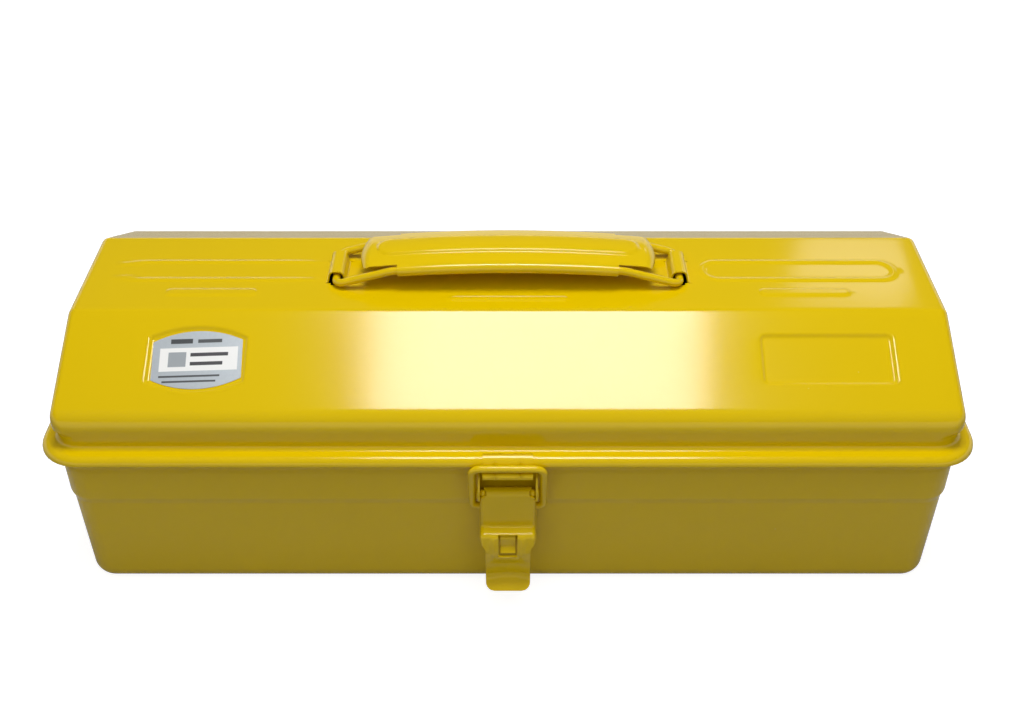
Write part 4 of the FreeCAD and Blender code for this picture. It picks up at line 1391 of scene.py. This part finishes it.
# ---- hinges -------------------------------------------------------------------------
@dataclass
class Hinge:
    """Rear hinge: body leaf with two rolled knuckles, lid leaf with one, and the pin."""

    x: float
    side: str
    sheet: float = 0.9
    half: float = 16.0
    middle_half: float = 6.7
    gap: float = 0.3
    axis_y: float = 77.6
    axis_z: float = 70.5
    knuckle: float = 2.2
    pin: float = 1.2
    body_wall: float = 69.45
    body_run: float = 6.0
    body_end: float = 50.0
    lid_wall: float = 68.85
    lid_run: float = 6.5
    lid_end: float = 84.5
    bend: float = 2.0
    clear: float = 1.6

    def build(self, finish: Finish) -> None:
        """Add both leaves and the pin to the scene."""
        mean = self.knuckle - self.sheet / 2
        low = self.axis_z - mean
        run = [(self.body_wall, low - self.body_run, self.bend), (self.body_wall, self.body_end, 0)]
        body = self.rolled(run, -1)
        inner = self.middle_half + self.gap
        body_tabs = [(-self.half, -inner), (inner, self.half)]
        self.leaf(body, body_tabs, Body.BOX, finish, "hinge_body_leaf", "hinge_low")
        high = self.axis_z + mean
        run = [(self.lid_wall, high + self.lid_run, self.bend), (self.lid_wall, self.lid_end, 0)]
        lid = self.rolled(run, 1)
        lid_tabs = [(-self.middle_half, self.middle_half)]
        self.leaf(lid, lid_tabs, Body.LID, finish, "hinge_lid_leaf", "hinge_high")
        skin = Skin()
        end = self.half
        half = [(0.0, self.pin), (end - 0.25, self.pin), (end, self.pin - 0.3), (end, 0.0)]
        outline = [(self.x - x, radius) for x, radius in half[::-1]]
        outline += [(self.x + x, radius) for x, radius in half[1:]]
        skin.lathe(outline, self.axis_y, self.axis_z)
        pin = skin.piece(f"hinge_rod_{self.side}", Body.BOX, finish, [f"hinge_pin_{self.side}"])
        pin.data.set_sharp_from_angle(angle=math.radians(50))

    def rolled(self, leaf: Sequence[Corner], way: int) -> Line:
        """Side view of a leaf: its knuckle rolled round the pin, then the leaf itself.

        Args:
            leaf: corners after the knuckle.
            way: 1 if the leaf leaves from above the pin, -1 from below.

        Returns:
            Points and normals.
        """
        mean = self.knuckle - self.sheet / 2
        turns = np.radians(np.linspace(-235, 90, 34)) * way
        over = np.stack([np.cos(turns), np.sin(turns)], axis=1)
        ring = over * mean + (self.axis_y, self.axis_z)
        points, normals = bent_line([(self.axis_y, self.axis_z + way * mean, 0), *leaf])
        return np.concatenate([ring[:-1], points]), np.concatenate([over[:-1], normals])

    def leaf(
        self,
        line: Line,
        tabs: Sequence[tuple[float, float]],
        body: Body,
        finish: Finish,
        node: str,
        name: str,
    ) -> None:
        """Add one leaf.

        Args:
            line: side view.
            tabs: ranges along the pin that reach the knuckle.
            body: the body it moves with.
            finish: slot and material.
            node: CAD node it stands for, without the side.
            name: object name, without the side.
        """
        points = line[0]
        ends = [value for tab in tabs for value in tab]
        across = lines((-self.half, self.half, 4.0), keep=sorted({*ends, -self.half, self.half}))
        away = np.hypot(points[:, 0] - self.axis_y, points[:, 1] - self.axis_z)
        free = away > self.knuckle + self.clear
        middle = (across[1:] + across[:-1]) / 2
        in_tab = np.zeros(len(middle), bool)
        for low, high in tabs:
            in_tab |= (middle > low) & (middle < high)
        keep = (free[1:] & free[:-1])[:, None] | in_tab[None]
        skin = Skin()
        skin.grid(strip_grid(points, across + self.x), keep)
        nodes = [f"{node}_{self.side}"]
        skin.piece(f"{name}_{self.side}", body, finish, nodes, self.sheet, 0.0, 0.2)


# ---- finishes -----------------------------------------------------------------------
class Graph:
    """Adds and joins the nodes of one tree."""

    def __init__(self, tree: bpy.types.NodeTree) -> None:
        """Work on a tree, from empty."""
        self.tree = tree
        self.tree.nodes.clear()

    @classmethod
    def of_material(cls, name: str) -> tuple[bpy.types.Material, "Graph"]:
        """A new material and the graph of its nodes."""
        material = bpy.data.materials.new(name)
        material.use_nodes = True
        return material, cls(material.node_tree)

    def node(
        self, kind: str, inputs: dict[str | int, object] | None = None, **settings: object
    ) -> bpy.types.Node:
        """Add a node.

        Args:
            kind: node type.
            inputs: sockets to join or values to set, by input name or number.
            settings: the node's own properties.

        Returns:
            The node.
        """
        node = self.tree.nodes.new(kind)
        node.location = (len(self.tree.nodes) * 190, 0)
        for name, value in settings.items():
            setattr(node, name, value)
        for name, value in (inputs or {}).items():
            if isinstance(value, Socket):
                self.tree.links.new(value, node.inputs[name])
            else:
                node.inputs[name].default_value = value
        return node

    def math(self, operation: str, first: object, second: object = 0.0, third: object = 0.0) -> Socket:
        """Add a math node and return its output."""
        return self.node("ShaderNodeMath", {0: first, 1: second, 2: third}, operation=operation).outputs[0]

    def blend(self, factor: object, first: object, second: object) -> Socket:
        """Mix two colours and return the result."""
        node = self.node("ShaderNodeMix", {0: factor, 6: first, 7: second}, data_type="RGBA")
        return node.outputs[2]

    def noise(self, place: Socket, scale: object, detail: float, rough: float = 0.5) -> Socket:
        """Add a noise texture and return its value."""
        inputs = {"Vector": place, "Scale": scale, "Detail": detail, "Roughness": rough}
        return self.node("ShaderNodeTexNoise", inputs).outputs[0]

    def group(self, tree: bpy.types.NodeTree, **inputs: object) -> Socket:
        """Use a node group and return its output."""
        named = {name.replace("_", " "): value for name, value in inputs.items()}
        return self.node("ShaderNodeGroup", named, node_tree=tree).outputs[0]


def new_group(
    name: str, inputs: dict[str, float | None], output: tuple[str, str]
) -> tuple[Graph, bpy.types.NodeOutputs, bpy.types.NodeSocket]:
    """Start a shader node group.

    Args:
        name: group name.
        inputs: default of each number input, or None for a vector.
        output: name and socket type of its output.

    Returns:
        The graph, what the group is given, and the socket that takes its result.
    """
    tree = bpy.data.node_groups.new(name, "ShaderNodeTree")
    graph = Graph(tree)
    for label, value in inputs.items():
        kind = "NodeSocketVector" if value is None else "NodeSocketFloat"
        socket = tree.interface.new_socket(name=label, in_out="INPUT", socket_type=kind)
        if value is not None:
            socket.default_value = value
    tree.interface.new_socket(name=output[0], in_out="OUTPUT", socket_type=output[1])
    given = graph.node("NodeGroupInput").outputs
    return graph, given, graph.node("NodeGroupOutput").inputs[output[0]]


def orange_peel() -> bpy.types.NodeTree:
    """Group: the fine unevenness of sprayed and baked paint, as a normal."""
    sizes = {"Place": None, "Fine": 1100.0, "Broad": 260.0, "Depth": 1.0}
    graph, given, result = new_group("OrangePeel", sizes, ("Normal", "NodeSocketVector"))
    fine = graph.noise(given["Place"], given["Fine"], 1.5)
    broad = graph.noise(given["Place"], given["Broad"], 1.0, 0.4)
    height = graph.math("MULTIPLY_ADD", broad, 2.2, fine)
    bump = graph.node(
        "ShaderNodeBump", {"Strength": 1.0, "Distance": given["Depth"], "Height": height}
    )
    graph.tree.links.new(bump.outputs[0], result)
    return graph.tree


def dust_specks() -> bpy.types.NodeTree:
    """Group: scattered tiny specks, as a mask."""
    sizes = {"Place": None, "Scale": 150.0, "Size": 0.07, "Share": 0.2}
    graph, given, result = new_group("DustSpecks", sizes, ("Mask", "NodeSocketFloat"))
    cells = graph.node("ShaderNodeTexVoronoi", {"Vector": given["Place"], "Scale": given["Scale"]})
    dice = graph.node("ShaderNodeSeparateColor", {0: cells.outputs["Color"]})
    chosen = graph.math("LESS_THAN", dice.outputs[0], given["Share"])
    size = graph.math("MULTIPLY", dice.outputs[1], given["Size"])
    near = graph.math("LESS_THAN", cells.outputs["Distance"], size)
    graph.tree.links.new(graph.math("MULTIPLY", chosen, near), result)
    return graph.tree


def paint_tone() -> bpy.types.NodeTree:
    """Group: slow unevenness of the paint film, as a factor round one half."""
    sizes = {"Place": None, "Scale": 14.0}
    graph, given, result = new_group("PaintTone", sizes, ("Tone", "NodeSocketFloat"))
    graph.tree.links.new(graph.noise(given["Place"], given["Scale"], 3.0), result)
    return graph.tree


def bar_mask() -> bpy.types.NodeTree:
    """Group: a soft-edged bar on a flat map, as a mask."""
    sizes = {"Place": None, "X": 0.0, "Y": 0.0, "Half length": 1.0, "Half width": 1.0, "Soft": 0.08}
    graph, given, result = new_group("BarMask", sizes, ("Mask", "NodeSocketFloat"))
    parts = graph.node("ShaderNodeSeparateXYZ", {0: given["Place"]})
    sides = []
    for index, (middle, half) in enumerate((("X", "Half length"), ("Y", "Half width"))):
        offset = graph.math("SUBTRACT", parts.outputs[index], given[middle])
        beyond = graph.math("SUBTRACT", given[half], graph.math("ABSOLUTE", offset))
        soft = graph.math("DIVIDE", beyond, given["Soft"])
        sides.append(graph.node("ShaderNodeClamp", {0: graph.math("ADD", soft, 0.5)}).outputs[0])
    graph.tree.links.new(graph.math("MULTIPLY", *sides), result)
    return graph.tree


@dataclass(frozen=True)
class Effects:
    """The node groups that several finishes share."""

    peel: bpy.types.NodeTree
    specks: bpy.types.NodeTree
    tone: bpy.types.NodeTree
    bar: bpy.types.NodeTree

    @classmethod
    def build(cls) -> "Effects":
        """Make each group once."""
        return cls(orange_peel(), dust_specks(), paint_tone(), bar_mask())


@dataclass(frozen=True)
class Enamel:
    """Glossy baked enamel with a little orange peel.

    Attributes:
        slot: the record's material slot.
        colour: the paint.
        deep: the paint where the film is thicker.
        dust: colour of the specks.
        dust_share: how far a speck hides the paint.
        roughness: lowest and highest roughness.
        tone_range: values of the slow unevenness that give those.
        ior: index of refraction of the film.
        specular: strength of its mirror image.
        peel: depth of the orange peel, in metres.
        specks: share of the cells that hold a speck.
    """

    slot: Slot
    colour: Colour = (0.755, 0.525, 0.0, 1.0)
    deep: Colour = (0.715, 0.49, 0.0, 1.0)
    dust: Colour = (0.80, 0.62, 0.12, 1.0)
    dust_share: float = 0.5
    roughness: tuple[float, float] = (0.115, 0.155)
    tone_range: tuple[float, float] = (0.3, 0.7)
    ior: float = 1.5
    specular: float = 0.4
    peel: float = 0.0000045
    specks: float = 0.05

    def build(self, effects: Effects) -> bpy.types.Material:
        """Make the material."""
        material, graph = Graph.of_material(self.slot.value)
        place = graph.node("ShaderNodeTexCoord").outputs["Object"]
        tone = graph.group(effects.tone, Place=place)
        colour = graph.blend(tone, self.colour, self.deep)
        specks = graph.group(effects.specks, Place=place, Share=self.specks)
        colour = graph.blend(graph.math("MULTIPLY", specks, self.dust_share), colour, self.dust)
        limits = (*self.tone_range, *self.roughness)
        rough = graph.node("ShaderNodeMapRange", {0: tone, **dict(enumerate(limits, 1))})
        inputs = {
            "Base Color": colour,
            "Roughness": rough.outputs[0],
            "IOR": self.ior,
            "Specular IOR Level": self.specular,
            "Normal": graph.group(effects.peel, Place=place, Depth=self.peel),
        }
        shader = graph.node("ShaderNodeBsdfPrincipled", inputs)
        graph.node("ShaderNodeOutputMaterial", {"Surface": shader.outputs[0]})
        return material


@dataclass(frozen=True)
class Bar:
    """One plain printed bar on the label, in millimetres from its middle."""

    x: float
    y: float
    half_length: float
    half_width: float
    colour: Colour


@dataclass(frozen=True)
class LabelFilm:
    """Silver film with a pale printed panel and plain bars in place of any wording.

    Attributes:
        slot: the record's material slot.
        film: the bare film.
        shade: how dark its grain gets, as a share of the film's colour.
        grain_depth: depth of the grain, in metres.
        metal: how metallic the bare film is; print is not.
        rough: least roughness, and how much the grain adds.
        bars: the print, the pale panel first.
    """

    slot: Slot = Slot.LABEL
    film: Colour = (0.49, 0.535, 0.57, 1.0)
    shade: float = 0.86
    grain_depth: float = 0.0000015
    metal: float = 0.3
    rough: tuple[float, float] = (0.3, 0.1)
    bars: tuple[Bar, ...] = (
        Bar(0.6, 0.3, 14.9, 4.9, (0.86, 0.86, 0.84, 1.0)),
        Bar(-6.2, 8.0, 4.2, 1.0, (0.05, 0.055, 0.06, 1.0)),
        Bar(4.6, 7.9, 4.6, 0.75, (0.07, 0.075, 0.08, 1.0)),
        Bar(-7.6, 0.3, 3.4, 3.1, (0.33, 0.36, 0.38, 1.0)),
        Bar(4.6, 2.2, 7.2, 0.75, (0.05, 0.05, 0.055, 1.0)),
        Bar(3.6, -1.6, 6.2, 0.75, (0.05, 0.05, 0.055, 1.0)),
        Bar(-2.6, -6.8, 11.6, 0.4, (0.07, 0.075, 0.08, 1.0)),
        Bar(-2.6, -9.0, 10.2, 0.4, (0.07, 0.075, 0.08, 1.0)),
    )

    def build(self, effects: Effects) -> bpy.types.Material:
        """Make the material."""
        material, graph = Graph.of_material(self.slot.value)
        chart = graph.node("ShaderNodeUVMap", uv_map="flat").outputs[0]
        place = graph.node("ShaderNodeTexCoord").outputs["Object"]
        grain = graph.noise(place, 900.0, 2.0)
        shade = tuple(value * self.shade for value in self.film[:3]) + (1.0,)
        colour = graph.blend(grain, self.film, shade)
        printed: Socket | float = 0.0
        for bar in self.bars:
            mask = graph.group(
                effects.bar,
                Place=chart,
                X=bar.x,
                Y=bar.y,
                Half_length=bar.half_length,
                Half_width=bar.half_width,
            )
            colour = graph.blend(mask, colour, bar.colour)
            printed = graph.math("MAXIMUM", printed, mask)
        bump = graph.node("ShaderNodeBump", {"Distance": self.grain_depth, "Height": grain})
        inputs = {
            "Base Color": colour,
            "Metallic": graph.math("MULTIPLY_ADD", printed, -self.metal, self.metal),
            "Roughness": graph.math("MULTIPLY_ADD", grain, self.rough[1], self.rough[0]),
            "Normal": bump.outputs[0],
        }
        shader = graph.node("ShaderNodeBsdfPrincipled", inputs)
        graph.node("ShaderNodeOutputMaterial", {"Surface": shader.outputs[0]})
        return material


# ---- studio -------------------------------------------------------------------------
@dataclass(frozen=True)
class Lamp:
    """A soft rectangular light.

    Attributes:
        name: object name.
        place: its middle, in metres.
        size: width and depth, in metres.
        radiance: brightness of its face, where 1 looks white.
        target: point that it faces, straight down if not given.
        mirrored: whether glossy surfaces show its face.
    """

    name: str
    place: Corner
    size: tuple[float, float]
    radiance: float
    target: Corner | None = None
    mirrored: bool = True

    def build(self) -> None:
        """Add the light to the scene."""
        light = bpy.data.lights.new(self.name, "AREA")
        light.shape = "RECTANGLE"
        light.size, light.size_y = self.size
        light.energy = self.radiance * math.pi * self.size[0] * self.size[1]
        lamp = place_in_scene(self.name, light)
        lamp.location = self.place
        if self.target is not None:
            heading = Vector(self.target) - Vector(self.place)
            lamp.rotation_euler = heading.to_track_quat("-Z", "Y").to_euler()
        lamp.visible_glossy = self.mirrored


@dataclass(frozen=True)
class Studio:
    """Camera, lamps, pale floor that curves up into a backdrop, and dim surroundings.

    Attributes:
        camera_place: where the camera is, in metres.
        camera_pitch: degrees up from looking straight down.
        lens: focal length in millimetres on a 36 mm sensor.
        lamps: the lights.
        floor_radius: where the floor starts to curve up, in metres.
        sweep_radius: radius of that curve.
        paper: the floor's colour.
        fibre: its colour where the fibre is thick.
        floor_glow: brightness added where the camera sees the floor.
        floor_mirror: share of that glow in mirror images of the near floor.
        mirror_reach: distances from the middle where that share starts to rise, and where it is 1.
        surroundings: brightness of everything beyond.
    """

    camera_place: Corner = (0.0016, -0.4375, 0.396)
    camera_pitch: float = 52.86
    lens: float = 45.3
    lamps: tuple[Lamp, ...] = (
        Lamp("softbox", (0.026, -0.04, 0.91), (0.34, 0.275), 16.0),
        Lamp("front_fill", (0.0, -1.5, 2.0), (3.4, 2.2), 1.05, (0.0, 0.0, 0.08), False),
        Lamp("rear_card", (0.42, 0.89, 0.68), (0.14, 0.10), 2.5, (0.0, 0.0, 0.08)),
    )
    floor_radius: float = 1.6
    sweep_radius: float = 1.0
    paper: Colour = (0.46, 0.46, 0.46, 1.0)
    fibre: Colour = (0.43, 0.43, 0.43, 1.0)
    floor_glow: float = 0.86
    floor_mirror: float = 0.12
    mirror_reach: tuple[float, float] = (0.5, 1.3)
    surroundings: float = 0.14

    def build(self) -> None:
        """Add everything to the scene."""
        self.add_camera()
        for lamp in self.lamps:
            lamp.build()
        self.add_floor()
        self.add_surroundings()
        bpy.context.scene.view_settings.view_transform = "Standard"

    def add_camera(self) -> None:
        """Camera in front of and above the box."""
        data = bpy.data.cameras.new("camera")
        data.lens = self.lens
        data.sensor_width = 36.0
        data.clip_start = 0.01
        data.clip_end = 20.0
        camera = place_in_scene("camera", data)
        camera.location = self.camera_place
        camera.rotation_euler = (math.radians(self.camera_pitch), 0, 0)
        bpy.context.scene.camera = camera

    def add_floor(self) -> None:
        """Round floor that curves up all round."""
        section = [(0.001, 0.0), (0.2, 0.0), (0.6, 0.0), (self.floor_radius, 0.0)]
        for step in range(1, 13):
            angle = math.pi / 2 * step / 12
            reach = self.floor_radius + self.sweep_radius * math.sin(angle)
            section.append((reach, self.sweep_radius * (1 - math.cos(angle))))
        turns = whole_turn(64)
        rings = [[(r * math.cos(t), r * math.sin(t), z) for t in turns] for r, z in section]
        skin = Skin()
        skin.grid(np.array(rings) / MM, closed=True, flip=True)
        mesh = skin.mesh("floor")
        mesh.shade_smooth()
        mesh.materials.append(self.floor_finish())
        place_in_scene("floor", mesh)

    def floor_finish(self) -> bpy.types.Material:
        """White paper that the camera sees as white and that still takes a shadow."""
        material, graph = Graph.of_material("white_paper")
        place = graph.node("ShaderNodeTexCoord").outputs["Object"]
        colour = graph.blend(graph.noise(place, 400.0, 3.0), self.paper, self.fibre)
        paper = graph.node("ShaderNodeBsdfDiffuse", {"Color": colour, "Roughness": 0.5})
        path = graph.node("ShaderNodeLightPath").outputs
        away = graph.node("ShaderNodeVectorMath", {0: place}, operation="LENGTH").outputs["Value"]
        near, far = self.mirror_reach
        limits = {"Value": away, "From Min": near, "From Max": far, "To Min": self.floor_mirror}
        distant = graph.node("ShaderNodeMapRange", limits).outputs[0]
        mirror = graph.math("MULTIPLY", path["Is Glossy Ray"], distant)
        seen = graph.math("MAXIMUM", path["Is Camera Ray"], mirror)
        seen = graph.math("MAXIMUM", seen, path["Is Transmission Ray"])
        share = graph.math("MULTIPLY", seen, self.floor_glow)
        light = {"Color": (1.0, 1.0, 1.0, 1.0), "Strength": share}
        glow = graph.node("ShaderNodeEmission", light)
        both = graph.node("ShaderNodeAddShader", {0: paper.outputs[0], 1: glow.outputs[0]})
        graph.node("ShaderNodeOutputMaterial", {"Surface": both.outputs[0]})
        return material

    def add_surroundings(self) -> None:
        """Plain grey surroundings."""
        world = bpy.data.worlds.new("surroundings")
        bpy.context.scene.world = world
        world.use_nodes = True
        graph = Graph(world.node_tree)
        level = (self.surroundings,) * 3 + (1.0,)
        sky = graph.node("ShaderNodeBackground", {"Color": level, "Strength": 1.0})
        graph.node("ShaderNodeOutputWorld", {"Surface": sky.outputs[0]})


def main() -> None:
    """Build every piece and the studio."""
    logging.basicConfig(level=logging.INFO, format="%(name)s: %(message)s")
    effects = Effects.build()
    finishes = [Enamel(slot) for slot in (Slot.ENAMEL, Slot.TRAY, Slot.HANDLE)]
    finishes.append(Enamel(Slot.HARDWARE, roughness=(0.16, 0.22), specks=0.12))
    finishes.append(LabelFilm())
    enamel, tray, handle, hardware, film = [(item.slot, item.build(effects)) for item in finishes]
    plan = Plan()
    slant = Slant()
    barrel = Barrel()
    BodyShell(plan).build(enamel)
    TrayPan(plan).build(tray)
    CamberLid(plan, slant, barrel).build(enamel)
    StuckLabel(slant, barrel).build(film)
    Handle().build(handle)
    Catch().build(hardware)
    Bracket().build(hardware)
    PivotPin().build(hardware)
    Lever().build(hardware)
    Bail().build(hardware)
    Hinge(-105.0, "left").build(hardware)
    Hinge(105.0, "right").build(hardware)
    Studio().build()


if __name__ == "__main__":
    main()
